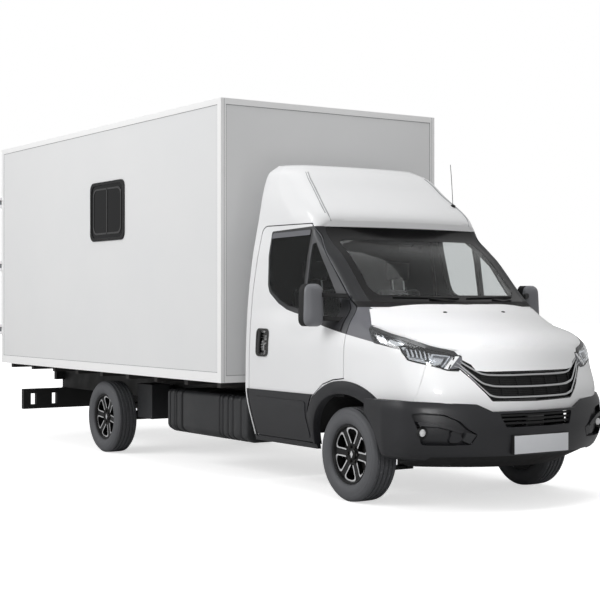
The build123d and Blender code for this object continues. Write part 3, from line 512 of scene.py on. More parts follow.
ACROSS, WIDE = (-1200, 1200), (-1300, 1300)                # cuts right through the cab, and past the bumper


def level(rows, z):
    """The section at one height, each value on a smooth curve through the rows that never overshoots."""
    heights = [row[0] for row in rows]
    i = min(max(bisect_right(heights, z) - 1, 0), len(rows) - 2)
    span = heights[i + 1] - heights[i]
    t = (z - heights[i]) / span

    def slope(k, column):
        rates = [(rows[j + 1][column] - rows[j][column]) / (heights[j + 1] - heights[j])
                 for j in (k - 1, k) if 0 <= j < len(rows) - 1]
        if len(rates) == 1:
            return rates[0]
        return 0 if rates[0] * rates[1] <= 0 else 2 * rates[0] * rates[1] / (rates[0] + rates[1])

    values = [z]
    for column in range(1, len(rows[0])):
        a, b = rows[i][column], rows[i + 1][column]
        da, db = slope(i, column) * span, slope(i + 1, column) * span
        values.append(a + t * da + t * t * (3 * (b - a) - 2 * da - db) + t ** 3 * (2 * (a - b) + da + db))
    return values


def plan(row, rear_x, inset, drop):
    """Closed level loop of one section, moved in by inset and down by drop."""
    z, rear_w, bend_x, bend_w, corner_x, corner_w, nose_x, reach = row
    rear, bend = Vector((rear_x + inset, rear_w - inset)), Vector((bend_x, bend_w - inset))
    corner, nose = Vector((corner_x - inset, corner_w - inset)), Vector((nose_x - inset, 0))
    side_end = corner + (bend - corner).normalized() * reach
    front_end = corner + (nose - corner).normalized() * reach
    fall = nose.x - front_end.x
    leave = Vector((-2 * fall / front_end.y, 1))            # direction in which the rounded front runs out
    along = (corner - bend).normalized()
    turn = front_end + leave * ((bend - front_end).cross(along) / leave.cross(along))
    half = [rear.lerp(bend, k / 9) for k in range(9)] + [bend.lerp(side_end, k / 9) for k in range(9)]
    for k in range(11):
        t = k / 11
        half.append(side_end * (1 - t) ** 2 + turn * 2 * t * (1 - t) + front_end * t * t)
    half += [Vector((nose.x - fall * (1 - k / 13) ** 2, front_end.y * (1 - k / 13))) for k in range(14)]
    whole = half + [Vector((p.x, -p.y)) for p in half[-2::-1]]
    whole += [Vector((rear.x, rear.y * (2 * k / 7 - 1))) for k in range(1, 7)]
    return [(p.x, p.y, z - drop) for p in whole]


def stacked(rows, rear_x, inset=0, drop=0):
    """Closed body through level sections."""
    heights = []
    for low, high in zip(rows, rows[1:]):
        count = max(2, ceil((high[0] - low[0]) / LEVEL_STEP))
        heights += [low[0] + (high[0] - low[0]) * k / count for k in range(count)]
    return lofted([plan(level(rows, z), rear_x, inset, drop) for z in heights + [rows[-1][0]]])


forms = {}


def cab_form(inset=0, drop=0):
    """The cab's body moved in by inset and down by drop, made once."""
    if (inset, drop) not in forms:
        forms[inset, drop] = stacked(CAB, CAB_REAR_X, inset, drop)
    return forms[inset, drop]


def shell_layer(outer, inner):
    """The cab's wall between two depths below its surface."""
    return less(*[cab_form(depth, max(0, depth * 0.75)) for depth in (outer, inner)])


SKIN_TREES = {}


def skin_point(start, direction, inset=0):
    """Where a line from outside meets the cab's surface, or one moved in by inset."""
    if inset not in SKIN_TREES:
        SKIN_TREES[inset] = surface(cab_form(inset, 0))
    return SKIN_TREES[inset].ray_cast(Vector(start), Vector(direction))[0]


def side_point(x, z, inset=0, side=RIGHT):
    """Surface point seen square from the side."""
    return skin_point((x, side * 1500, z), (0, -side, 0), inset)


def front_point(y, z, inset=0):
    """Surface point seen square from the front."""
    return skin_point((1500, y, z), (-1, 0, 0), inset)


def top_point(x, y):
    """Surface point seen from above."""
    return skin_point((x, y, 3000), (0, 0, -1))


# outlines seen from the side, (x, z)
def door_outline(grow):
    return [(-1282 - grow, 400 - grow, 30), (-470 + grow, 400 - grow), (-470 + grow, 640),
            (-395 + grow, 760 - grow), (-250 + grow, 862 - grow), (-120 + grow, 900 - grow),
            (-2 + grow, 915 - grow), (-2 + grow, 1432 + grow, 20), (-95 + grow, 1500 + grow),
            (-655 + grow, 2085 + grow, 25), (-1257 - grow, 2085 + grow, 60), (-1282 - grow, 1500, 200)]


WINDOW = [(-1122, 2030, 30), (-1112, 1850), (-1076, 1625, 60), (-1046, 1568, 80), (-925, 1490, 90),
          (-812, 1444, 60), (-640, 1412, 20), (-640, 2042, 15)]
QUARTER = [(-600, 1925, 12), (-600, 1400, 15), (-160, 1352, 25), (-152, 1424, 15), (-560, 1935, 8)]
DARK_ZONE = [(-1137, 2043, 18), (-620, 2066), (120, 2066), (120, 1218), (-2, 1238), (-300, 1292),
             (-520, 1356, 60), (-724, 1391, 80), (-831, 1415, 60), (-940, 1463, 90), (-1068, 1552, 70),
             (-1094, 1610, 60), (-1130, 1850)]
GREY_ZONE = [(-6, 1474, 8), (-22, 1450), (-6, 1238), (120, 1216), (330, 1180, 10), (210, 1314), (136, 1395),
             (40, 1460)]
BONNET_LINE = [(52, 1447), (199, 1306), (376, 1263), (536, 1225), (633, 1193), (706, 1164), (751, 1147),
               (787, 1131), (812, 1096), (822, 1062), (848, 1030), (868, 988), (890, 979)]
LAMP = [(200, 1304, 6), (376, 1261), (536, 1223), (633, 1191), (706, 1162), (751, 1145), (787, 1129),
        (812, 1094), (835, 1060), (835, 985), (803, 990, 8), (751, 1022), (622, 1062, 20), (588, 1104, 15),
        (562, 1137, 15), (447, 1157), (308, 1178, 20)]
GRILLE_HALF = [(0, 990), (330, 992), (425, 1003, 30), (489, 1040, 30), (560, 1100), (600, 1100),
               (670, 990, 6), (585, 1000, 10), (525, 938), (466, 866), (380, 774, 25), (0, 766)]
SCREEN_REACH = (-620, 300)                                   # along X
SCREEN = [(-770, 1478, 20), (770, 1478, 20), (745, 2063, 20), (-745, 2063, 20)]
COWL = [(-900, -1100), (60, -1100), (60, -880), (120, -700), (165, -450), (205, -220), (222, 0), (205, 220),
        (165, 450), (120, 700), (60, 880), (60, 1100), (-900, 1100)]
BUMPER_TOP = [(-1060, 786), (-787, 774), (-621, 764), (-505, 757, 30), (-395, 703, 30), (395, 703, 30),
              (505, 757, 30), (621, 764), (787, 774), (1060, 786)]


def on_side(side, near, far):
    """Range across the vehicle on one side, low value first."""
    return sorted((side * near, side * far))


def both_halves(half):
    """Whole outline from its left half, which starts and ends on the centre line."""
    return half + [(-p[0], *p[1:]) for p in half[-1:0:-1]]


def side_prism(outline, side=RIGHT, near=600, far=1250):
    return prism(outline, "Y", *on_side(side, near, far))


def grown(outline, by):
    """Outline moved outwards by a distance, its corners kept."""
    points = [Vector(p[:2]) for p in outline]
    area = sum(points[i - 1].cross(points[i]) for i in range(len(points)))
    turn = 1 if area > 0 else -1
    out = []
    for i, p in enumerate(points):
        a, b = (p - points[i - 1]).normalized(), (points[(i + 1) % len(points)] - p).normalized()
        na, nb = Vector((a.y, -a.x)) * turn, Vector((b.y, -b.x)) * turn
        m = (na + nb).normalized()
        shift = m * (by / max(0.35, m.dot(na)))
        out.append((p.x + shift.x, p.y + shift.y, *outline[i][2:]))
    return out


def above_bonnet_line(gap):
    run = [(x + gap * 0.8, z + gap * 0.6) for x, z in BONNET_LINE]
    return prism([(run[0][0], 1600)] + run + [(1200, 977 + gap), (1200, 1600)], "Y", -1100, 1100)


def above_bumper(lift):
    return prism([(-1200, 786 + lift)] + [(p[0], p[1] + lift, *p[2:]) for p in BUMPER_TOP] +
                 [(1200, 786 + lift), (1200, 900), (-1200, 900)], "X", 0, 1200)


def wheel_room(side, radius, near, far, steps=64):
    """Drum about the front axle's line, with which the arches are cut."""
    profile = [(side * near, 0), (side * near, radius), (side * far, radius), (side * far, 0)]
    return turned(profile, (0, 0, AXLE_Z), steps=steps)


arches = [wheel_room(side, ARCH_R, 520, 1250, steps=96) for side in SIDES]

# ---------------------------------------------------------------- cab body
outer, inner = cab_form(0), cab_form(SKIN, SKIN_DROP)
screen_cut = prism(SCREEN, "X", *SCREEN_REACH)
door_cuts = [side_prism(door_outline(SHUT_GAP), side) for side in SIDES]
lamp_cuts = [side_prism(LAMP, side, near=575) for side in SIDES]
GRILLE = both_halves(GRILLE_HALF)
grille_cut = prism(GRILLE, "X", 600, 1200)
cowl_cut = prism(COWL, "Z", 1300, 1700)
bonnet_cut = less(above_bonnet_line(0), cowl_cut)
bumper_room = less(stacked(BUMPER, BUMPER_REAR_X, -0.3), above_bumper(0.3))
scuttle_cut = bar((-60, 240), (-872, 872), (1436, 1479))
pillar_cuts = [bar((-700, 300), on_side(side, 700, 1000), (1440, 2066)) for side in SIDES]
grey_cuts = [side_prism(GREY_ZONE, side) for side in SIDES]
# fine joint between the wing and the nose panel, from the lamp down to the bumper
joint_band = less(cab_form(-6), cab_form(5, 3))
JOINT = [(791, 1040), (795, 1040), (856, 870), (876, 760), (871, 760), (852, 870)]
joints = [within(joint_band, prism([(side * y, z) for y, z in JOINT], "X", 500, 1200)) for side in SIDES]

shell = less(outer, inner, bar((CAB_REAR_X - 10, -900), (-800, 800), (200, 730)),
             *door_cuts, screen_cut, bonnet_cut, *lamp_cuts, grille_cut, *arches,
             bar((300, 1200), ACROSS, (200, 700)), bumper_room)
scuttle = within(shell, scuttle_cut)
shell = less(shell, scuttle_cut)
sill_zone = bar((-1345, 300), ACROSS, (300, 397))
sills = within(shell, sill_zone)
shell = less(shell, sill_zone)
pillars = [less(within(shell, cut), grey) for cut, grey in zip(pillar_cuts, grey_cuts)]
greys = [within(shell, cut) for cut in grey_cuts]
shell = less(shell, *pillar_cuts, *grey_cuts, *joints)
# the roof moulding ends in a straight lip over the screen, filling the hollow under its brow
BROW_Z, LIP_Z = 2110, 2064
brow_plan = plan(level(CAB, BROW_Z), CAB_REAR_X, 0, 0)
brow_lip = lofted([[(x, y, z) for x, y, _ in brow_plan] for z in (LIP_Z, BROW_Z + 2)])
brow_lip = within(less(brow_lip, cab_form(2, 0)), bar((-640, 0), (-800, 800), (LIP_Z - 5, BROW_Z + 5)))
piece("cab_roof_brow_lip", brow_lip, PAINT, slot="cab_paint")
piece("cab_body_panels", shell, PAINT, slot="cab_paint",
      replaces=["cab_shell", "front_panels", "cab_roof", "cab_back_wall"])
piece("windscreen_pillar_covers", together(*pillars), PILLAR_PLASTIC, slot="dark_plastic")
piece("wing_infill_panels", together(*greys), GREY_TRIM, slot="dark_plastic")
piece("cab_sills", sills, BUMPER_PLASTIC, slot="dark_plastic")
piece("scuttle_panel", scuttle, MATT_BLACK, slot="dark_plastic")

# Headlining and rear trim, in the felt that is darkened as painted shade.
lining = less(cab_form(SKIN + 1, SKIN_DROP + 1), cab_form(SKIN + 8, SKIN_DROP + 8), *door_cuts, screen_cut)
lining = within(lining, bar((-1310, -40), (-1000, 1000), (770, 2560)))
piece("cab_headlining_and_rear_trim", lining, FELT_DARKENED_AS_SHADE)
structure = []
for x, z in (((-1400, -60), (730, 760)), ((-90, -60), (730, 1405))):
    plate = within(bar(x, ACROSS, z), inner)
    for side in SIDES:
        plate = less(plate, wheel_room(side, LINER_ROOM_R, 491, 1200))
    structure.append(less(plate, *door_cuts))
piece("cab_floor_and_firewall", together(*structure), CHASSIS, slot="chassis_paint", replaces=["cab_floor"])

# windscreen: bare glass inside a baked black border
glass_layer = less(cab_form(0), cab_form(6, 4))
clear_zone = prism([(-712, 1522, 70), (712, 1522, 70), (690, 1962, 60), (-690, 1962, 60)], "X", *SCREEN_REACH)
piece("windscreen_glass", within(glass_layer, screen_cut, clear_zone), SCREEN_GLASS, slot="cab_glass",
      replaces=["windscreen"])
piece("windscreen_border", less(within(glass_layer, screen_cut), clear_zone), FRIT, slot="cab_glass")

# bonnet, and its two washer nozzles
bonnet = less(within(less(cab_form(0), cab_form(14, 10)), above_bonnet_line(5)),
              moved(cowl_cut, Matrix.Translation((6, 0, 0))))
piece("bonnet_panel", bonnet, PAINT, "bonnet", slot="cab_paint", replaces=["bonnet"])
nozzles = []
for y in (-288, 288):
    here = top_point(321, y)
    nozzles.append(turned([(-4, 0), (-4, 17), (3, 16), (7, 9), (8, 0)], here, axis="Z", steps=20))
piece("washer_nozzles", together(*nozzles), MATT_BLACK, "bonnet")

# ---------------------------------------------------------------- cab doors
panel_layer = less(cab_form(0), cab_form(14, 10))
core_layer = less(cab_form(14.3, 10.3), cab_form(SKIN, SKIN_DROP))
card_layer = less(cab_form(SKIN + 0.3, SKIN_DROP), cab_form(SKIN + 14, SKIN_DROP + 6))
glass_inner = less(cab_form(2, 1.5), cab_form(6, 4))
door_body = side_prism(door_outline(0))
lights = [side_prism(WINDOW), side_prism(QUARTER)]
dark_cut = side_prism(DARK_ZONE)
skin = less(within(panel_layer, door_body), dark_cut)
window_frame = less(within(panel_layer, door_body, dark_cut), *lights)
core = less(within(core_layer, side_prism(door_outline(-25))), *lights)
channel_zones = [side_prism(grown(WINDOW, 28)), side_prism(grown(QUARTER, 20))]
channels = together(*[within(core, zone) for zone in channel_zones])
core = less(core, *channel_zones)
card = less(within(card_layer, side_prism(door_outline(-45))), side_prism(grown(WINDOW, 20)),
            side_prism(grown(QUARTER, 15)))
glass = [within(glass_inner, light) for light in lights]
quarter_zone = side_prism([(-618, 1340), (-618, 2100), (100, 2100), (100, 1200), (-46, 1200), (-60, 1380),
                           (-240, 1376)])
visor = within(shell_layer(-5, -1),
               side_prism([(-1119, 1985, 8), (-648, 1998), (-645, 2040, 10), (-1121, 2028, 25)]))
clad_band = bar((-1300, 20), (-1200, -600), (380, 775))
trim_layer = shell_layer(-12, 0)
cladding = within(trim_layer, door_body, clad_band)
raised = within(shell_layer(-17, -12),
                side_prism([(-1180, 430, 25), (-500, 430, 20), (-500, 600), (-470, 715, 20),
                            (-1180, 722, 25)]))
handle_back = within(shell_layer(-9, 0),
                     side_prism([(-1181, 1040, 40), (-1008, 1040, 40), (-1008, 1263, 40), (-1181, 1263, 40)]))
handle_dish = side_prism([(-1166, 1056, 30), (-1023, 1056, 30), (-1023, 1247, 30), (-1166, 1247, 30)])
handle_back = less(handle_back, handle_dish)
dish = within(less(cab_form(0), cab_form(5, 3)), handle_dish)
grip_path = [side_point(x, z, -13) for x, z in ((-1130, 1062), (-1132, 1110), (-1130, 1160), (-1127, 1210),
                                                (-1122, 1242))]
grip = swept(smooth_path(grip_path, 4), [(-20, -8), (20, -8), (20, 2), (12, 7), (-12, 7), (-20, 2)],
             up=(0, -1, 0))


def both_sides(name, mesh, material, node=None, **details):
    """The same piece on both cab doors."""
    for side in SIDES:
        replaces = [f"{node}_{NAMES[side]}"] if node else []
        mine = mesh.copy() if side == RIGHT else mirrored(mesh)
        piece(f"{name}_{NAMES[side]}", mine, material, f"{NAMES[side]}_cab_door",
              replaces=replaces, **details)


both_sides("cab_door_skin", skin, PAINT, "door", slot="cab_paint")
both_sides("cab_door_frame", core, PAINT, slot="cab_paint")
both_sides("cab_door_window_channels", channels, RUBBER, slot="seal_rubber")
both_sides("cab_door_card", card, DASH, slot="dash_plastic")
both_sides("cab_door_window_surround", less(window_frame, quarter_zone), PILLAR_PLASTIC, slot="dark_plastic")
both_sides("cab_door_quarter_frame", within(window_frame, quarter_zone), QUARTER_TRIM, slot="dark_plastic")
both_sides("cab_door_glass", together(*glass), SIDE_GLASS, "door_glass", slot="cab_glass")
both_sides("cab_door_rain_visor", visor, GREY_TRIM, slot="dark_plastic")
both_sides("cab_door_cladding", together(cladding, raised), BUMPER_PLASTIC, "door_trim", slot="dark_plastic")
both_sides("cab_door_handle", together(handle_back, dish, grip), GLOSS_BLACK, slot="dark_plastic")

# ---------------------------------------------------------------- wheel-arch lips
LIP_SECTION = [(545, -6), (545, 8), (538, 17), (500, 24), (462, 25), (450, 20), (446, 6), (446, -44),
               (456, -44), (460, -6)]                        # (radius, how far it stands out)
LIP_FIRST, LIP_LAST, LIP_STEPS = -11, 214, 63                # degrees round the axle from straight ahead
CAB_LOWEST = 352
for side, door_cut in zip(SIDES, door_cuts):
    loops = []
    for k in range(LIP_STEPS + 1):
        turn = radians(LIP_FIRST + (LIP_LAST - LIP_FIRST) * k / LIP_STEPS)
        loop = []
        for radius, proud in LIP_SECTION:
            x, z = radius * cos(turn), AXLE_Z + radius * sin(turn)
            here = side_point(x, max(z, CAB_LOWEST), 0, side)
            loop.append((x, here.y + side * proud, z))
        loops.append(loop)
    lip = lofted(loops)
    lip = less(lip, door_cut, bumper_room, bar((-700, 900), WIDE, (-200, 386)),
               bar((302, 900), WIDE, (100, 690)))
    rear_strip = within(trim_layer, bar((-1306, -1290), on_side(side, 880, 1200), (386, 775)))
    infill = side_prism([(-480, 380), (-480, 775), (-330, 775), (-400, 600), (-445, 380)], side)
    infill = less(within(shell_layer(-5, 0), infill), door_cut, *arches)
    piece(f"wheel_arch_lip_{NAMES[side]}", together(lip, rear_strip, infill), BUMPER_PLASTIC,
          slot="dark_plastic",
          replaces=["wheel_arch_trims"] if side == RIGHT else [])

# ---------------------------------------------------------------- headlamps


def inlay(shape, near, far):
    """Part of the cab's wall between two depths, inside a prism."""
    return within(shell_layer(near, far), shape)


def from_front(outline, side=RIGHT):
    """Prism seen from the front, (y, z) for the right side."""
    return prism([(-side * p[0], *p[1:]) for p in outline], "X", 500, 1200)


LAMP_INSIDE = [(230, 1281, 6), (376, 1240), (536, 1201), (633, 1168), (706, 1139), (748, 1123),
               (775, 1110, 10), (798, 1086, 6), (826, 1060), (826, 996), (800, 1000, 8), (750, 1032),
               (628, 1071, 18), (598, 1110, 12), (568, 1145, 12), (447, 1165), (320, 1186, 12)]
END_PLATE = [(-556, 1097), (-546, 1068), (-575, 1010), (-606, 1000), (-664, 990), (-700, 1000), (-640, 1060),
             (-600, 1100)]
LAMP_CHROME = (                                              # depths, and outline from the side
    (8, 30, [(338, 1257), (356, 1253), (438, 1177), (420, 1176)]),
    (8, 26, [(352, 1259), (475, 1231), (566, 1197), (556, 1186), (473, 1216), (362, 1244)]),
    (14, 28, [(440, 1212, 5), (488, 1203, 5), (556, 1178, 5), (545, 1163, 5), (500, 1160, 5),
              (432, 1182, 5)]),
    (29, 34, [(244, 1272), (330, 1248), (400, 1184), (330, 1184, 8)]),
)
# reflector fins as (y, lowest, highest), and the light guide from the side
FINS = ((-886, 1094, 1146), (-868, 1086, 1142), (-849, 1086, 1137), (-829, 1080, 1134), (-808, 1076, 1130),
        (-785, 1068, 1124), (-762, 1058, 1114))
GUIDE = [(563, 1150), (563, 1128), (590, 1092), (618, 1069), (740, 1029), (752, 1026), (752, 1040),
         (738, 1043), (624, 1082), (600, 1102), (577, 1133), (577, 1152)]
for side in SIDES:
    lamp_well = side_prism(LAMP_INSIDE, side, near=540)
    end_plate = from_front(END_PLATE, side)
    housing_zone = side_prism(grown(LAMP, -1.5), side, near=574)
    gasket = less(within(shell_layer(1.5, 36), housing_zone), lamp_well, grille_cut)
    back = less(within(shell_layer(34, 39), housing_zone), grille_cut)
    cover = less(within(shell_layer(0, 4), side_prism(grown(LAMP, -2.5), side, near=574)),
                 end_plate, grille_cut)
    name = NAMES[side]
    piece(f"headlamp_housing_{name}", together(gasket, back), GLOSS_BLACK, slot="dark_plastic")
    piece(f"headlamp_cover_{name}", cover, LAMP_COVER, slot="lamp_lens",
          replaces=["headlamps"] if side == RIGHT else [])
    outer_frame = [inlay(side_prism(shape, side), near, far) for near, far, shape in LAMP_CHROME]
    piece(f"headlamp_chrome_{name}", together(*outer_frame), CHROME, slot="lamp_lens")
    fins = [inlay(from_front([(y - 6, low), (y + 5, low), (y + 3, high), (y - 3, high)], side), 7, 30)
            for y, low, high in FINS]
    beam = from_front([(-738, 1099), (-640, 1086), (-701, 1016), (-766, 1042)], side)
    beam_frame = from_front([(-748, 1108, 5), (-622, 1092, 5), (-698, 1006, 5), (-778, 1038, 5)], side)
    fins.append(inlay(less(beam_frame, beam), 6, 28))
    fins.append(inlay(beam, 27, 31))
    fins.append(inlay(from_front([(-905, 1098), (-900, 1112), (-780, 1078), (-782, 1050), (-860, 1076)],
                                 side), 20, 27))
    piece(f"headlamp_reflectors_{name}", together(*fins), REFLECTOR, slot="lamp_lens")
    guide = inlay(side_prism(GUIDE, side), 5, 14)
    guide_end = inlay(from_front([(-786, 1037), (-697, 1000), (-692, 1010), (-786, 1049)], side), 5, 14)
    marker = inlay(from_front([(-600, 1100, 3), (-566, 1090, 3), (-660, 993, 3), (-694, 1001, 3)],
                              side), 2, 13)
    piece(f"headlamp_light_guide_{name}", together(guide, guide_end, marker), LIGHT_GUIDE, slot="lamp_lens")
    marker_room = from_front([(-603, 1103), (-562, 1091), (-656, 988), (-700, 998)], side)
    piece(f"grille_end_plate_{name}", inlay(less(end_plate, marker_room), 3, 12), GREY_TRIM,
          slot="grille_black")

# ---------------------------------------------------------------- grille
grille_back = within(less(cab_form(36), cab_form(44)), prism(grown(GRILLE, 12), "X", 600, 1200))
piece("grille_back", grille_back, MATT_BLACK, slot="grille_black", replaces=["grille"])
surround = less(inlay(grille_cut, 2, 36), prism(grown(GRILLE, -9), "X", 500, 1300))
BROW_HALF = [(0, 988), (330, 990), (425, 1001, 30), (489, 1038, 30), (552, 1080), (552, 1064),
             (489, 1016, 30), (420, 981, 30), (330, 972), (0, 969)]
brow = inlay(prism(both_halves(BROW_HALF), "X", 600, 1200), 6, 30)
piece("grille_surround", together(surround, brow), GLOSS_BLACK, slot="grille_black")
mesh_bars = [bar((600, 1200), (-600, 600), (z, z + 5)) for z in range(786, 1060, 13)]
rib_room = prism(grown(GRILLE, -6), "X", 600, 1200)
ribs = within(shell_layer(22, 37), rib_room, together(*mesh_bars))
post_bars = [bar((600, 1200), (y - 3, y + 3), (700, 1100)) for y in range(-560, 561, 140)]
posts = within(shell_layer(18, 36), rib_room, together(*post_bars))
piece("grille_ribs", together(ribs, posts), MATT_BLACK, slot="grille_black")
SLATS = (
    [(0, 955), (190, 954), (340, 957), (400, 963), (441, 976), (531, 1032), (563, 1056)],
    [(0, 873), (211, 875), (340, 880), (392, 890), (437, 906), (496, 958), (557, 1018), (592, 1046)],
    [(0, 799), (200, 800), (330, 804), (388, 818), (410, 834), (497, 922), (564, 1001), (610, 1020)],
)
blades, edges = [], []
for half in SLATS:
    line = [(-y, z) for y, z in half[:0:-1]] + half
    path = smooth_path([front_point(y, z, 9) for y, z in line], 5)
    blades.append(swept(path, [(0, -11), (24, -15), (24, -4), (0, 5), (-5, 0)]))
    edges.append(swept(path, [(-7, 0), (-5, -5), (0, -4), (6, 5), (0, 9), (-6, 6)]))
piece("grille_slats", together(*blades), GLOSS_BLACK, slot="grille_black")
piece("grille_chrome_strips", together(*edges), CHROME, slot="grille_black")

# ---------------------------------------------------------------- bumper


def bumper_form(inset=0):
    return stacked(BUMPER, BUMPER_REAR_X - 3 * inset, inset)


def bumper_layer(outer, inner, *zones):
    """The bumper's wall between two depths, inside the zones."""
    return within(less(bumper_form(outer), bumper_form(inner)), *zones)


bumper_wall = less(bumper_form(), bumper_form(45), above_bumper(0), *arches)
core_room = bumper_form(30)
intake = prism([(-303, 592, 12), (303, 592, 12), (350, 688, 12), (-350, 688, 12)], "X", 500, 1200)
RECESS = [(-925, 693, 14), (-862, 702, 25), (-738, 690, 40), (-640, 645, 40), (-580, 585, 30),
          (-518, 548, 12), (-562, 478, 16), (-700, 474), (-872, 478, 30), (-890, 560)]
recess = less(prism(RECESS, "X", 500, 1200), core_room)
lip_line = bar((0, 1300), WIDE, (200, 389))
corner_line = together(bar((0, 1300), (-1300, -790), (362, 500)), bar((0, 1300), (790, 1300), (362, 500)))
bumper = less(bumper_wall, intake, recess, mirrored(recess), less(lip_line, corner_line))
piece("front_bumper_skin", bumper, BUMPER_PLASTIC, slot="dark_plastic", replaces=["front_bumper"])
lip = less(bumper_layer(26, 62, bar((420, 1300), (-812, 812), (250, 402))), *arches)
piece("front_bumper_lip", lip, MATT_BLACK, slot="dark_plastic")
tub = []
for side in SIDES:
    tub.append(less(bumper_layer(31, 37, from_front(grown(RECESS, 4), side)), *arches))
piece("bumper_recess_backs", together(*tub), MATT_BLACK, slot="dark_plastic")
UPPER_BLADE = [(-893, 640, 8), (-760, 628, 20), (-655, 590, 15), (-612, 566), (-640, 560), (-700, 583, 20),
               (-770, 604, 20), (-880, 612, 8)]
LOWER_BLADE = [(-705, 600, 20), (-640, 560), (-610, 520), (-640, 492), (-705, 492, 20), (-690, 545)]
FACET = [(-596, 566), (-528, 547), (-568, 484), (-618, 506)]
FOG_X, FOG_Y, FOG_Z = 771, 858, 563
blades, facets, lamps, bezels = [], [], [], []
for side in SIDES:
    blades.append(bumper_layer(5, 32, from_front(UPPER_BLADE, side)))
    blades.append(bumper_layer(12, 32, from_front(LOWER_BLADE, side)))
    facets.append(bumper_layer(1, 30, from_front(FACET, side)))
    here = (FOG_X, side * FOG_Y, FOG_Z)
    bezels.append(turned([(-60, 0), (-60, 44), (-6, 44), (0, 40), (-6, 31), (-24, 29), (-24, 0)], here,
                         axis="X", steps=40))
    lamps.append(turned([(-20, 0), (-20, 28), (-9, 26), (-4, 16), (-2, 0)], here, axis="X", steps=40))
piece("bumper_recess_blades", together(*blades), BUMPER_PLASTIC, slot="dark_plastic")
piece("bumper_recess_facets", together(*facets), PILLAR_PLASTIC, slot="dark_plastic")
piece("fog_lamp_bezels", together(*bezels), MATT_BLACK, slot="dark_plastic")
piece("fog_lamp_lenses", together(*lamps), FOG, slot="lamp_lens")
intake_room = prism([(-303, 592), (303, 592), (350, 688), (-350, 688)], "X", 500, 1300)
intake_bars = [bumper_layer(14, 40, bar((500, 1300), (-352, 352), (z, z + 14)), intake_room)
               for z in (612, 640, 667)]
piece("bumper_intake_bars", together(*intake_bars), MATT_BLACK, slot="grille_black")
piece("distance_sensor_cover", bar((925, 988), (-80, 80), (590, 676), 5), GLOSS_BLACK, slot="grille_black")
piece("number_plate_holder", bar((1010, 1045), (-264, 264), (400, 536), 3), MATT_BLACK, slot="dark_plastic")
piece("number_plate_blank", bar((1045.2, 1047.4), (-260, 260), (404, 532), 0.8), PLATE)

# ---------------------------------------------------------------- mirrors


def mirror_case(grow=0):
    """Housing of the right mirror: flat behind, bulged ahead, rounded off above and below."""
    loops = []
    for k in range(17):
        rise = sin(pi * (k / 16 - 0.5))
        z = 1451 + (160 + grow) * rise
        tuck = 1 - 0.4 * abs(rise) ** 9
        taper = (z - 1290) / 322
        width, depth = (95 - 9 * taper + grow) * tuck, (122 - 16 * taper + grow) * tuck
        loop = []
        for m in range(21):
            across, ahead = cos(pi * m / 20), sin(pi * m / 20)
            out = width * abs(across) ** 0.6 * (1 if across > 0 else -1)
            loop.append((-302 + depth * ahead ** 0.6, -1095 + out, z))
        loops.append(loop)
    return lofted(loops)


everywhere = (-2000, 2000)
case = mirror_case()
mirror_cover = within(case, bar((-236, -150), everywhere, everywhere))
mirror_frame = less(within(mirror_case(-2), bar((-310, -240), everywhere, everywhere)),
                    prism([(-1178, 1310, 24), (-1014, 1310, 24), (-1020, 1594, 24), (-1172, 1594, 24)],
                          "X", -320, -290))
mirror_joint = within(mirror_case(-7), bar((-242, -232), everywhere, everywhere))
panes = [prism([(-1173, low, 14), (-1018, low, 14), (-1020, high, 14), (-1171, high, 14)], "X", -294, -291)
         for low, high in ((1404, 1588), (1317, 1394))]
arms = [swept(smooth_path([(-84, -880, z - 2), (-122, -938, z), (-172, -1000, z + 5),
                           (-236, -1046, z + 9)], 6),
              [(-12, -18), (12, -18), (17, -10), (17, 10), (12, 18), (-12, 18), (-17, 10), (-17, -10)])
        for z in (1345, 1520)]
arms = [less(arm, cab_form(-0.5)) for arm in arms]
sail = within(shell_layer(-10, -0.5),
              side_prism([(-170, 1268, 25), (-62, 1262, 10), (-62, 1430, 10), (-86, 1490, 12),
                          (-170, 1500, 25)]))
both_sides("mirror_cover", mirror_cover, MIRROR_PLASTIC, "mirror", slot="dark_plastic")
both_sides("mirror_frame_and_arms", together(mirror_frame, mirror_joint, *arms), MATT_BLACK,
           slot="dark_plastic")
both_sides("mirror_sail_plate", sail, BUMPER_PLASTIC, slot="dark_plastic")
both_sides("mirror_panes", together(*panes), SILVER)

# ---------------------------------------------------------------- wheels and tyres


def polar(radius, degrees):
    """(x, z) seen from the side, the angle from straight up towards the front."""
    return radius * sin(radians(degrees)), radius * cos(radians(degrees))


def on_wheel(radius, degrees, out):
    """Point on the wheel, out from its middle plane."""
    x, z = polar(radius, degrees)
    return x, out, z


def petal(middle, sides=0, rim=0):
    """Window between two spokes: narrow at the hub, wide at the rim, and grown for the strip round it."""
    near, far, inner, outer = 76 - sides, 186 + rim, 5 + sides * 0.74, 20 + sides * 0.31
    return [(*polar(near, middle - inner), 5), (*polar(far, middle - outer), 20),
            polar(far + 4, middle - outer / 3), polar(far + 4, middle + outer / 3),
            (*polar(far, middle + outer), 20), (*polar(near, middle + inner), 5)]


def looped(profile):
    return profile + profile[:1]


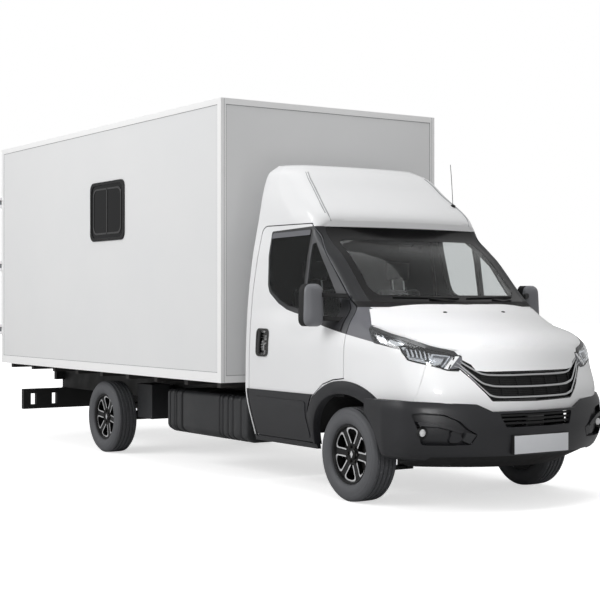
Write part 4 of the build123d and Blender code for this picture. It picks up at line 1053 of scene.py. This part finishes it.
def tyre_mesh():
    """Tyre about the wheel's axis, with raised tread blocks between four grooves."""
    half = [(77.5, 203.6), (77.7, 222), (88, 225), (97, 231), (99, 235), (104, 242), (110, 256), (112.3, 273),
            (111, 290), (107.5, 306), (107.8, 309), (105.6, 311), (103.5, 320), (98, 331), (91, 338),
            (84, 342.4), (60, 344.6), (58.5, 337), (51.5, 337), (50, 345), (24, 345.4), (22.5, 337.5),
            (15.5, 337.5), (14, 345.5)]
    bm = spun(looped(half + [(-along, radius) for along, radius in half[::-1]]), 84)
    bmesh.ops.remove_doubles(bm, verts=bm.verts, dist=WELD)
    bmesh.ops.recalc_face_normals(bm, faces=bm.faces)
    blocks = [f for f in bm.faces if f.calc_center_median().xz.length > 341.9 and f.calc_area() > 200]
    bmesh.ops.inset_individual(bm, faces=blocks, thickness=2.2, depth=3.6, use_even_offset=True)
    return closed(bm)


tyre = tyre_mesh()
barrel = turned(looped([(-85.5, 193), (-86, 219), (-79, 220), (-77.5, 204), (-60, 199), (40, 199),
                        (77.5, 203.4), (79, 220), (85, 219.5), (86, 216), (83, 206), (70, 199), (52, 196),
                        (40, 192), (-60, 190)]), steps=96)
disc = turned(looped([(20.5, 40), (20.5, 86), (34, 92), (42, 130), (48, 197), (66, 197), (65, 176), (60, 125),
                      (57, 90), (54, 66), (49, 58), (49, 40)]), steps=96)
strip_layer = turned(looped([(56, 82), (59.2, 125), (64.2, 176), (65.4, 198.5), (67.2, 198.5), (66.6, 176),
                             (61.6, 125), (58.4, 82)]), steps=96)
cap = turned([(48, 0), (48, 40), (58, 39), (62, 34), (64, 0)], steps=48)
badge = prism([(0, 30, 4), (17, 0, 3), (0, -30, 4), (-17, 0, 3)], "Y", 62.5, 65.5)
iron = turned(looped([(-8, 64), (-8, 149), (0, 149.5), (1, 141), (11, 141), (12, 149.5), (20, 149),
                      (20, 64)]), steps=72)
SPOKES, TURN = 6, 60
NUT_R, NUT_PHASE = 60, 30
nuts = [turned([(48, 0), (48, 12), (61, 12), (63, 9), (63, 0)],
               on_wheel(NUT_R, k * TURN + NUT_PHASE, 0), steps=6)
        for k in range(SPOKES)]
valve = pipe([on_wheel(180, 34, 48), on_wheel(176, 34, 72)], 4)
for end, x, phase in (("front", 0, 4), ("rear", -WHEELBASE, 8)):
    petals = [prism(petal(phase + TURN * k), "Y", 0, 100) for k in range(SPOKES)]
    face = less(disc, *petals)
    rings = [prism(petal(phase + TURN * k, sides=9, rim=12), "Y", 0, 100) for k in range(SPOKES)]
    strips = less(within(strip_layer, together(*rings)), together(*petals))
    for side in SIDES:
        name = f"{end}_{NAMES[side]}"
        place = Matrix.Translation((x, side * HALF_TRACK, AXLE_Z)) @ (MIRROR if side == RIGHT else Matrix())
        body = name + "_wheel"
        piece(f"tyre_tread_and_walls_{name}", moved(tyre, place), TYRE, body, slot="tyre_rubber",
              replaces=[f"tyre_{name}"])
        rim, bright, nut_ring = together(barrel, face, cap), together(strips, badge), together(*nuts)
        piece(f"wheel_rim_{name}", moved(rim, place), WHEEL_BLACK, body, slot="alloy_wheel",
              replaces=[f"wheel_{name}"], bevel=1.2, crease=40)
        piece(f"wheel_bright_strips_{name}", moved(bright, place), WHEEL_BRIGHT, body, slot="alloy_wheel")
        piece(f"wheel_nuts_{name}", moved(nut_ring, place), IRON, body)
        piece(f"wheel_valve_{name}", moved(valve, place), RUBBER, body)
        piece(f"brake_disc_{name}", moved(iron, place), IRON, body, slot="cast_iron")

# ---------------------------------------------------------------- box body
SEALANT = grained("polyurethane_sealant", ("#9b9c9e", "#a9aaac"), 60, (0.5, 0.65), 4, 0.05, IOR=1.5)
BOX_FRONT, BOX_SIDE = -1531, 1125
PANEL_LOW, PANEL_TOP, FRONT_LOW = 890, 3106, 865
BEAD = 5


def beads_round(first, last, low, high):
    """Where sealant runs along the four edges of a panel, as (across, up) pairs."""
    across, up = (first, last), (low, high)
    return [(across, (low, low + BEAD)), (across, (high - BEAD, high)),
            ((first, first + BEAD), up), ((last - BEAD, last), up)]


dressed("box_edge_profiles", EXTRUSION, bevel=4, slot="box_trim")
for name in ("box_side_right", "box_side_left", "box_front_wall", "box_roof"):
    dressed(name, PANEL, bevel=1.5, slot="box_panel")
dressed("box_floor", FLOOR, bevel=1.5, slot="floor_board")
beads, seams = [], []
for side in SIDES:
    face = on_side(side, BOX_SIDE - 3, BOX_SIDE + 1.2)
    beads += [bar(x, face, z) for x, z in beads_round(-6233, -1587, PANEL_LOW, PANEL_TOP)]
    seams.append(bar((-1529, -1526.6), on_side(side, 1096, 1099), (812, 3152)))
beads += [bar((BOX_FRONT - 3, BOX_FRONT + 1.2), y, z)
          for y, z in beads_round(-1080, 1080, FRONT_LOW, PANEL_TOP)]
piece("box_panel_sealant", together(*beads), SEALANT)
piece("box_profile_seams", together(*seams), SEALANT)

# windows in the box: dark panes in a rubber frame, with a sliding part
PANE = [(-3996, 2066, 70), (-3290, 2066, 70), (-3290, 2610, 70), (-3996, 2610, 70)]
rings, glasses, sliders = [], [], []
for side in SIDES:
    rings.append(less(side_prism(grown(PANE, 9), side, 1120, 1137),
                      side_prism(grown(PANE, -20), side, 1100, 1150)))
    glasses.append(side_prism(grown(PANE, -6), side, 1110, 1130))
    inner_frame = less(side_prism(grown(PANE, -52), side, 1128, 1134),
                       side_prism(grown(PANE, -68), side, 1100, 1150))
    sliders.append(inner_frame)
    sliders.append(bar((-3652, -3634), on_side(side, 1128, 1134), (2122, 2554)))
piece("box_window_frames", together(*rings), RUBBER, slot="box_window", bevel=2)
piece("box_window_panes", together(*glasses), DARK_GLASS, slot="box_window",
      replaces=["side_windows"], bevel=1.5)
piece("box_window_sliders", together(*sliders), GLOSS_BLACK, slot="box_window", bevel=1)

# rear doors: panel, gasket, lock rod with its handle, and straps on pins beside the corner
HINGE_PIN, HINGE_Z, STRAP = (-6305, -1145, 0), (1150, 1850, 2550), 50
for side in SIDES:
    name, body = NAMES[side], f"{NAMES[side]}_rear_door"
    turn = Matrix() if side == RIGHT else MIRROR
    slab = bar((-6292.5, -6253.5), (-1052, -13), (903, 3063), 3)
    gasket = less(bar((-6291, -6255), (-1059, -6), (896, 3070)),
                  bar((-6300, -6200), (-1050, -15), (905, 3061)))
    rod = together(pipe([(-6300, -330, 935), (-6300, -330, 3031)], 6.5, 16, up=(1, 0, 0)),
                   *[bar((-6304, -6292), (-346, -314), (z, z + 34), 2)
                     for z in (960, 1420, 1600, 2160, 2700, 2970)])
    lever = together(bar((-6310, -6304), (-478, -345), (1506, 1534), 2.5),
                     bar((-6305, -6292), (-352, -322), (1496, 1544), 3),
                     bar((-6306, -6292), (-482, -452), (1500, 1540), 3))
    straps = []
    for z in HINGE_Z:
        strap_z = (z + 1, z + STRAP - 1)
        straps += [
            bar((-6301.5, -6297.5), (-1140, -925), strap_z, 1.5),
            bar((-6299, -6293), (-1058, -925), strap_z, 1.5),
            turned([(z, 0), (z, 9), (z + STRAP, 9), (z + STRAP, 0)], HINGE_PIN, axis="Z", steps=24),
            turned([(z - 28, 0), (z - 28, 4.6), (z + 78, 4.6), (z + 78, 0)], HINGE_PIN, axis="Z", steps=16)]
        straps += [turned([(0, 0), (4, 6), (5, 0)], (-6301, y, z + STRAP / 2), axis="X", steps=6)
                   for y in (-1040, -985, -945)]
    piece(f"rear_door_panel_{name}", moved(slab, turn), PANEL, body, slot="box_panel",
          replaces=[f"rear_door_{name}"])
    piece(f"rear_door_gasket_{name}", moved(gasket, turn), RUBBER, body, slot="seal_rubber")
    piece(f"rear_door_lock_{name}", moved(together(rod, lever), turn), ANODISED, body)
    piece(f"rear_door_hinges_{name}", moved(together(*straps), turn), STEEL, body)
lenses = {"red": [], "amber": [], "clear": []}
lamp_base = []
for side in SIDES:
    y = on_side(side, 1070, 1116)
    lamp_base.append(bar((-6300, -6293), on_side(side, 1068, 1118), (830, 1100), 2))
    for kind, z in (("clear", (834, 906)), ("red", (910, 1010)), ("amber", (1014, 1096))):
        lenses[kind].append(bar((-6305, -6299), y, z, 2.5))
piece("rear_lamp_bases", together(*lamp_base), MATT_BLACK, slot="red_lens", replaces=["rear_lamps"])
piece("rear_lamp_red_lenses", together(*lenses["red"]), RED_LENS, slot="red_lens")
piece("rear_lamp_amber_lenses", together(*lenses["amber"]), AMBER_LENS)
piece("rear_lamp_reversing_lenses", together(*lenses["clear"]), FOG)

# ---------------------------------------------------------------- chassis
for name, material, edge, slot in (
        ("chassis_frame", CHASSIS, 3, "chassis_paint"), ("rear_underrun", CHASSIS, 4, "chassis_paint"),
        ("rear_axle", CHASSIS, 3, "chassis_paint"), ("front_suspension", CHASSIS, 3, "chassis_paint"),
        ("propshaft", CHASSIS, 1, "chassis_paint"), ("exhaust", EXHAUST, 1, "exhaust_steel"),
        ("engine_and_gearbox", CASTING, 8, "cast_alloy"), ("steering_knuckle_right", IRON, 3, "cast_iron"),
        ("steering_knuckle_left", IRON, 3, "cast_iron"), ("equipment_case", TANK, 12, "dark_plastic"),
        ("wheel_liners", LINER, 1, "liner_plastic"), ("door_seals", RUBBER, 1, "seal_rubber")):
    dressed(name, material, bevel=edge, slot=slot)


def tank_loop(x, inset):
    """Section of the fuel tank across the vehicle, moved in by inset."""
    corners = [(-925, 350, 60), (-925, 690, 40), (-480, 690, 20), (-480, 305, 50), (-850, 305, 60)]
    return [(x, p[0], p[1]) for p in rounded(grown(corners, -inset), 6)]


# ribbed like the moulding: the end swells in, then narrow valleys part broad bands
VALLEYS = ((-2770, 9), (-2690, 10), (-2655, 10), (-2560, 12), (-2540, 8), (-1900, 12), (-1846, 12),
           (-1760, 10), (-1682, 12), (-1553, 12))            # (middle, half width)
stations = [(-2840, 26), (-2832, 12), (-2815, 2), (-2790, 0)]
for middle, half in VALLEYS:
    for sign in (-1, 1):
        stations += [(middle + sign * (half + 12), 0), (middle + sign * half, 3),
                     (middle + sign * half * 0.5, 13)]
stations = sorted(stations) + [(-1470, 0), (-1456, 4), (-1450, 16)]
loops = [tank_loop(x, inset) for k, (x, inset) in enumerate(stations) if not k or x - stations[k - 1][0] > 2]
tank_straps = [bar((x - 20, x + 20), (-480, -450), (560, 660), 3) for x in (-2650, -1650)]
piece("fuel_tank_moulding", lofted(loops), TANK, slot="dark_plastic", replaces=["fuel_tank"], crease=50)
piece("fuel_tank_brackets", together(*tank_straps), CHASSIS, slot="chassis_paint")

# ---------------------------------------------------------------- cab interior
dressed("dashboard", DASH, bevel=10, slot="dash_plastic")
vents = []
for y in (-700, -120, 120, 700):
    vents += [bar((x, x + 12), (y - 62, y + 62), (z, z + 6), 2)
              for x, z in ((-436, 1208), (-438, 1224), (-440, 1240))]
    vents.append(less(bar((-444, -420), (y - 72, y + 72), (1196, 1258), 6),
                      bar((-460, -400), (y - 64, y + 64), (1204, 1250))))
binnacle = prism([(-420, 1296, 12), (-300, 1330, 20), (-300, 1390, 25), (-446, 1384, 18)], "Y", 245, 555)
glovebox = bar((-452, -440), (-690, -250), (1040, 1180), 8)
piece("dashboard_binnacle_and_vents", together(binnacle, glovebox, *vents), MATT_BLACK, slot="dash_plastic")
displays = together(bar((-449, -446.5), (272, 528), (1306, 1374), 1),
                    bar((-446, -436), (-88, 88), (1262, 1350), 3))
piece("dashboard_displays", displays, GLOSS_BLACK)
LEVER = [(1150, 0), (1150, 34), (1170, 22), (1176, 8), (1232, 8), (1238, 20), (1262, 22), (1272, 12),
         (1274, 0)]
lever = together(bar((-500, -430), (0, 80), (1120, 1152), 10),
                 turned(LEVER, (-458, 40, 0), axis="Z", steps=24))
piece("gear_lever", lever, GLOSS_BLACK, slot="dash_plastic")

DRIVER_Y, WHEEL_RIM_R = 400, 185
rake = Vector((0, 1, 0)).rotation_difference(Vector((-0.9, 0, 0.436))).to_matrix().to_4x4()
tilt = Matrix.Translation((-575, DRIVER_Y, 1197)) @ rake
rim = turned(looped([(13 * sin(2 * pi * k / 14), WHEEL_RIM_R + 14 * cos(2 * pi * k / 14))
                     for k in range(14)]), steps=72)
boss = turned([(-22, 0), (-22, 52), (6, 60), (16, 48), (20, 20), (21, 0)], steps=40)
ARM = [(-4, -17), (4, -17), (7, 0), (4, 17), (-4, 17), (-7, 0)]
arms = [swept([(sign * 40, -2, 0), (sign * 110, -4, 0), (sign * 176, 0, 0)], ARM) for sign in (1, -1)]
low_arm = swept([(0, -2, -40), (0, -4, -110), (0, 0, -176)], [(-15, -4), (15, -4), (15, 4), (-15, 4)],
                up=(0, 1, 0))
column = pipe([(-400, DRIVER_Y, 1108), (-540, DRIVER_Y, 1180)], 29, 20)
stalks = []
for sign in (1, -1):
    stalk = [(x, DRIVER_Y + sign * out, z)
             for x, out, z in ((-520, 20, 1176), (-528, 80, 1186), (-530, 150, 1200))]
    stalks.append(pipe(smooth_path(stalk, 4), 7))
piece("steering_wheel_rim", moved(together(rim, *arms, low_arm), tilt), DASH, slot="dash_plastic",
      replaces=["steering_wheel"], crease=60)
piece("steering_wheel_boss", moved(boss, tilt), MATT_BLACK, slot="dash_plastic")
piece("steering_column", together(column, *stalks), MATT_BLACK, slot="dash_plastic")

# rear-view mirror on the screen, sun visors under the headlining
glass_here = front_point(0, 1935, 8)
stem = pipe(smooth_path([glass_here, glass_here + Vector((-25, 0, -6)),
                         glass_here + Vector((-46, 0, -24))], 4), 8)
mirror_x, mirror_z = glass_here.x - 56, glass_here.z - 32
mirror_shell = bar((mirror_x - 14, mirror_x + 12), (-122, 122), (mirror_z - 34, mirror_z + 34), 11)
mirror_pane = bar((mirror_x - 16, mirror_x - 14.2), (-112, 112), (mirror_z - 27, mirror_z + 27), 0.8)
piece("rear_view_mirror", together(stem, mirror_shell), MATT_BLACK)
piece("rear_view_mirror_pane", mirror_pane, SILVER)
visors = []
for side in SIDES:
    here = front_point(side * 400, 2030, 50)
    visors.append(bar((here.x - 215, here.x - 60), on_side(side, 190, 640), (2012, 2030), 8))
piece("sun_visors", together(*visors), FELT_DARKENED_AS_SHADE)

# ---------------------------------------------------------------- seats
PLUMPING_STEPS = 20
PAD_ROWS, PAD_VOXEL, WELT_R = 9, 6, 2.6


def plumped(mesh, limit):
    """A pad swollen like sewn cloth over foam, by a cloth simulation in which no point passes the limit."""
    holder = in_scene("pad", moved(mesh, Matrix.Scale(MM, 4)))
    remesh = holder.modifiers.new("remesh", "REMESH")
    remesh.mode, remesh.voxel_size = "VOXEL", PAD_VOXEL * MM
    bpy.context.view_layer.update()
    holder.data = evaluated(holder)
    holder.modifiers.clear()
    start = [v.co.copy() for v in holder.data.vertices]
    cloth = holder.modifiers.new("cloth", "CLOTH")
    cloth.settings.quality = 4
    cloth.settings.use_pressure, cloth.settings.uniform_pressure_force = True, 4
    cloth.settings.effector_weights.gravity = 0
    cloth.point_cache.frame_start, cloth.point_cache.frame_end = 1, PLUMPING_STEPS
    for step in range(1, PLUMPING_STEPS + 1):
        bpy.context.scene.frame_set(step)
    swollen = evaluated(holder)
    for vertex, rest in zip(swollen.vertices, start):
        shift = vertex.co - rest
        vertex.co = rest + shift * min(1, limit * MM / max(shift.length, 1e-9))
    bpy.data.objects.remove(holder)
    bpy.context.scene.frame_set(1)
    return moved(swollen, Matrix.Scale(1 / MM, 4))


def pad(profile, half_width, waist=0):
    """Closed pad from its side outline, drawn in towards both ends and pulled in by waist in the middle."""
    loops = []
    for k in range(PAD_ROWS):
        t = 2 * k / (PAD_ROWS - 1) - 1
        inset = 16 * abs(t) ** 6 + waist * max(0, 1 - abs(t) * 2.2)
        loops.append([(p[0], half_width * sin(t * pi / 2), p[1]) for p in rounded(grown(profile, -inset), 6)])
    return lofted(loops)


SEAT_Y = 430
BASE = [(-1118, 850, 30), (-640, 850, 30), (-572, 912, 40), (-582, 996, 46), (-1072, 950, 30)]
BACK = [(-1136, 962, 34), (-1034, 976, 36), (-1118, 1588, 44), (-1196, 1588, 36)]
HEAD = [(-1146, 1652, 28), (-1140, 1816, 34), (-1206, 1816, 34), (-1208, 1652, 28)]
soft = {
    "seat_cushion": plumped(pad(BASE, 222), 9),
    "seat_back": plumped(pad(BACK, 218, waist=10), 9),
    "head_restraint": plumped(pad(HEAD, 116), 7),
}


def seam(mesh, starts, direction):
    """Welted seam laid on a swollen pad where lines from outside meet it."""
    tree = surface(mesh)
    points = [tree.ray_cast(Vector(start), Vector(direction))[0] for start in starts]
    return pipe([p for p in points if p], WELT_R, 8, up=(0, 1, 0))


welts = []
for y in (-128, 128):
    welts.append(seam(soft["seat_cushion"], [(x, y, 1300) for x in range(-1060, -585, 18)], (0, 0, -1)))
    welts.append(seam(soft["seat_back"], [(-600, y, z) for z in range(985, 1575, 20)], (-1, 0, 0)))
shellings = [
    prism([(-1150, 760.5), (-625, 760.5), (-600, 800, 20), (-600, 858, 20), (-1135, 858, 20)],
          "Y", -232, 232),
    prism([(-1206, 960, 20), (-1140, 930, 20), (-1150, 1000), (-1200, 1560, 20), (-1212, 1560, 10)],
          "Y", -200, 200),
]
posts = [pipe([(-1160, side * 60, 1560), (-1176, side * 60, 1700)], 7) for side in (-1, 1)]
for side in SIDES:
    name = NAMES[side]
    place = Matrix.Translation((0, side * SEAT_Y, 0))
    for kind, mesh in soft.items():
        made = piece(f"{kind}_{name}", moved(mesh, place), CLOTH, slot="seat_fabric", crease=180, subdivide=1,
                     replaces=["seats"] if side == RIGHT and kind == "seat_cushion" else [])
    piece(f"seat_seams_{name}", moved(together(*welts), place), BOLSTER, slot="seat_fabric")
    piece(f"seat_shell_{name}", moved(together(*shellings), place), MATT_BLACK, slot="dash_plastic", bevel=4)
    piece(f"head_restraint_posts_{name}", moved(together(*posts), place), STEEL)

# ---------------------------------------------------------------- roof and screen details
JOINT_LINE = ((704, 2107), (712, 2170), (704, 2230), (676, 2310), (648, 2390), (632, 2470), (606, 2530))
channels = []
for side in SIDES:
    path = [front_point(side * y, z) for y, z in JOINT_LINE]
    channels.append(pipe(smooth_path(path, 4), 5, 8))
    channels.append(pipe(smooth_path([p + Vector((-9, side * 16, 0)) for p in path[1:]], 4), 4, 8))
piece("roof_moulding_joints", together(*channels), SEALANT)
# Light grey bead along each door's front edge at the pillar: a painted highlight, standing for the light that
# edge catches.
highlight_strips = []
for side in SIDES:
    path = [side_point(-78 - 557 * k / 20, 1506 + 566 * k / 20, 0, side) for k in range(21)]
    highlight_strips.append(pipe([p for p in path if p], 3.2, 8))
piece("pillar_painted_highlight_strips", together(*highlight_strips), GREY_TRIM)
base = top_point(-712, 660)
rod = ((0, 0, 12), (-10, 2, 120), (-24, 5, 240), (-42, 9, 355))
aerial = together(turned([(-6, 0), (-6, 24), (6, 22), (14, 12), (18, 5), (18, 0)], base, axis="Z", steps=24),
                  pipe([base + Vector(p) for p in rod], 2.6, 10, up=(1, 0, 0)))
piece("roof_aerial", aerial, RUBBER)
wipers = []
for pivot in (-250, 390):
    blade = [front_point(y, 1502 + 0.02 * abs(y), -9) for y in range(pivot - 330, pivot + 231, 40)]
    wipers.append(pipe(blade, 5, 8))
    arm = [front_point(pivot + y, z, proud)
           for y, z, proud in ((180, 1484, -6), (90, 1492, -18), (-40, 1503, -16))]
    wipers.append(swept(arm, [(-7, -3), (7, -3), (5, 5), (-5, 5)]))
piece("windscreen_wipers", together(*wipers), MATT_BLACK)

# ---------------------------------------------------------------- floor, light and camera
bm = bmesh.new()
bmesh.ops.create_grid(bm, x_segments=1, y_segments=1, size=60)
studio_floor = in_scene("studio_floor", as_mesh(bm))
made, tree, place = begin("studio_paper_matt")
paper = node(tree, "BsdfPrincipled", {"Base Color": linear("#f3f3f3"), "Roughness": 0.9})
dull = node(tree, "BsdfPrincipled", {"Base Color": linear("#c4c4c4"), "Roughness": 0.9})
far = node(tree, "VectorMath", {0: place}, operation="LENGTH").outputs["Value"]
fade = node(tree, "MapRange", {"Value": far, "From Min": 5.0, "From Max": 22.0, "To Min": 0.62,
                               "To Max": 1.3})
glow = node(tree, "Emission", {"Color": linear("#ffffff"), "Strength": fade.outputs[0]})
seen = node(tree, "AddShader", {0: paper.outputs[0], 1: glow.outputs[0]})
path_kind = node(tree, "LightPath")
choose = node(tree, "MixShader", {0: path_kind.outputs["Is Camera Ray"], 1: dull.outputs[0],
                                  2: seen.outputs[0]})
node(tree, "OutputMaterial", {"Surface": choose.outputs[0]})
studio_floor.data.materials.append(made)

world = bpy.data.worlds.new("studio")
bpy.context.scene.world = world
world.use_nodes = True
tree = world.node_tree
tree.nodes.clear()
path_kind = node(tree, "LightPath")
seen_directly = {k: path_kind.outputs[f"Is {kind} Ray"] for k, kind in enumerate(("Camera", "Transmission"))}
behind = node(tree, "Math", seen_directly, operation="MAXIMUM")
level_of = node(tree, "MapRange", {"Value": behind.outputs[0], "To Min": 0.44, "To Max": 1.0})
back = node(tree, "Background", {"Color": linear("#ffffff"), "Strength": level_of.outputs[0]})
node(tree, "OutputWorld", {"Surface": back.outputs[0]})


def soft_box(name, place, target, size, power, mirrored_in_gloss=True, spread=180):
    """Rectangular lamp in watts at a place, turned to its target; sizes in metres, spread in degrees."""
    lamp = bpy.data.lights.new(name, "AREA")
    lamp.shape, lamp.size, lamp.size_y, lamp.energy = "RECTANGLE", size[0], size[1], power
    lamp.spread = radians(spread)
    holder = in_scene(name, lamp)
    holder.location = place
    holder.visible_glossy = mirrored_in_gloss
    holder.rotation_euler = (Vector(target) - Vector(place)).to_track_quat("-Z", "Y").to_euler()


soft_box("key_from_right", (-2.0, -11, 7), (-2.2, 0, 1.5), (9, 5), 690)
soft_box("nose_light", (8.5, -3.5, 2.6), (3.1, -0.45, 1.15), (1.2, 0.8), 3, spread=18)
soft_box("top_light", (2.5, 0, 10), (2, 0, 1.5), (8, 5), 400, mirrored_in_gloss=False)

camera = in_scene("camera", bpy.data.cameras.new("camera"))
camera.data.lens, camera.data.sensor_width = 83.0, 36
camera.location = (10.9015, -6.919, 1.468)
YAW, PITCH = 0.591, -0.002                                   # radians from straight back towards +Y, and down
forward = Vector((-cos(YAW) * cos(PITCH), sin(YAW) * cos(PITCH), -sin(PITCH)))
camera.rotation_euler = forward.to_track_quat("-Z", "Y").to_euler()
camera.data.clip_end = 200
bpy.context.scene.camera = camera
bpy.context.scene.view_settings.view_transform = "Standard"
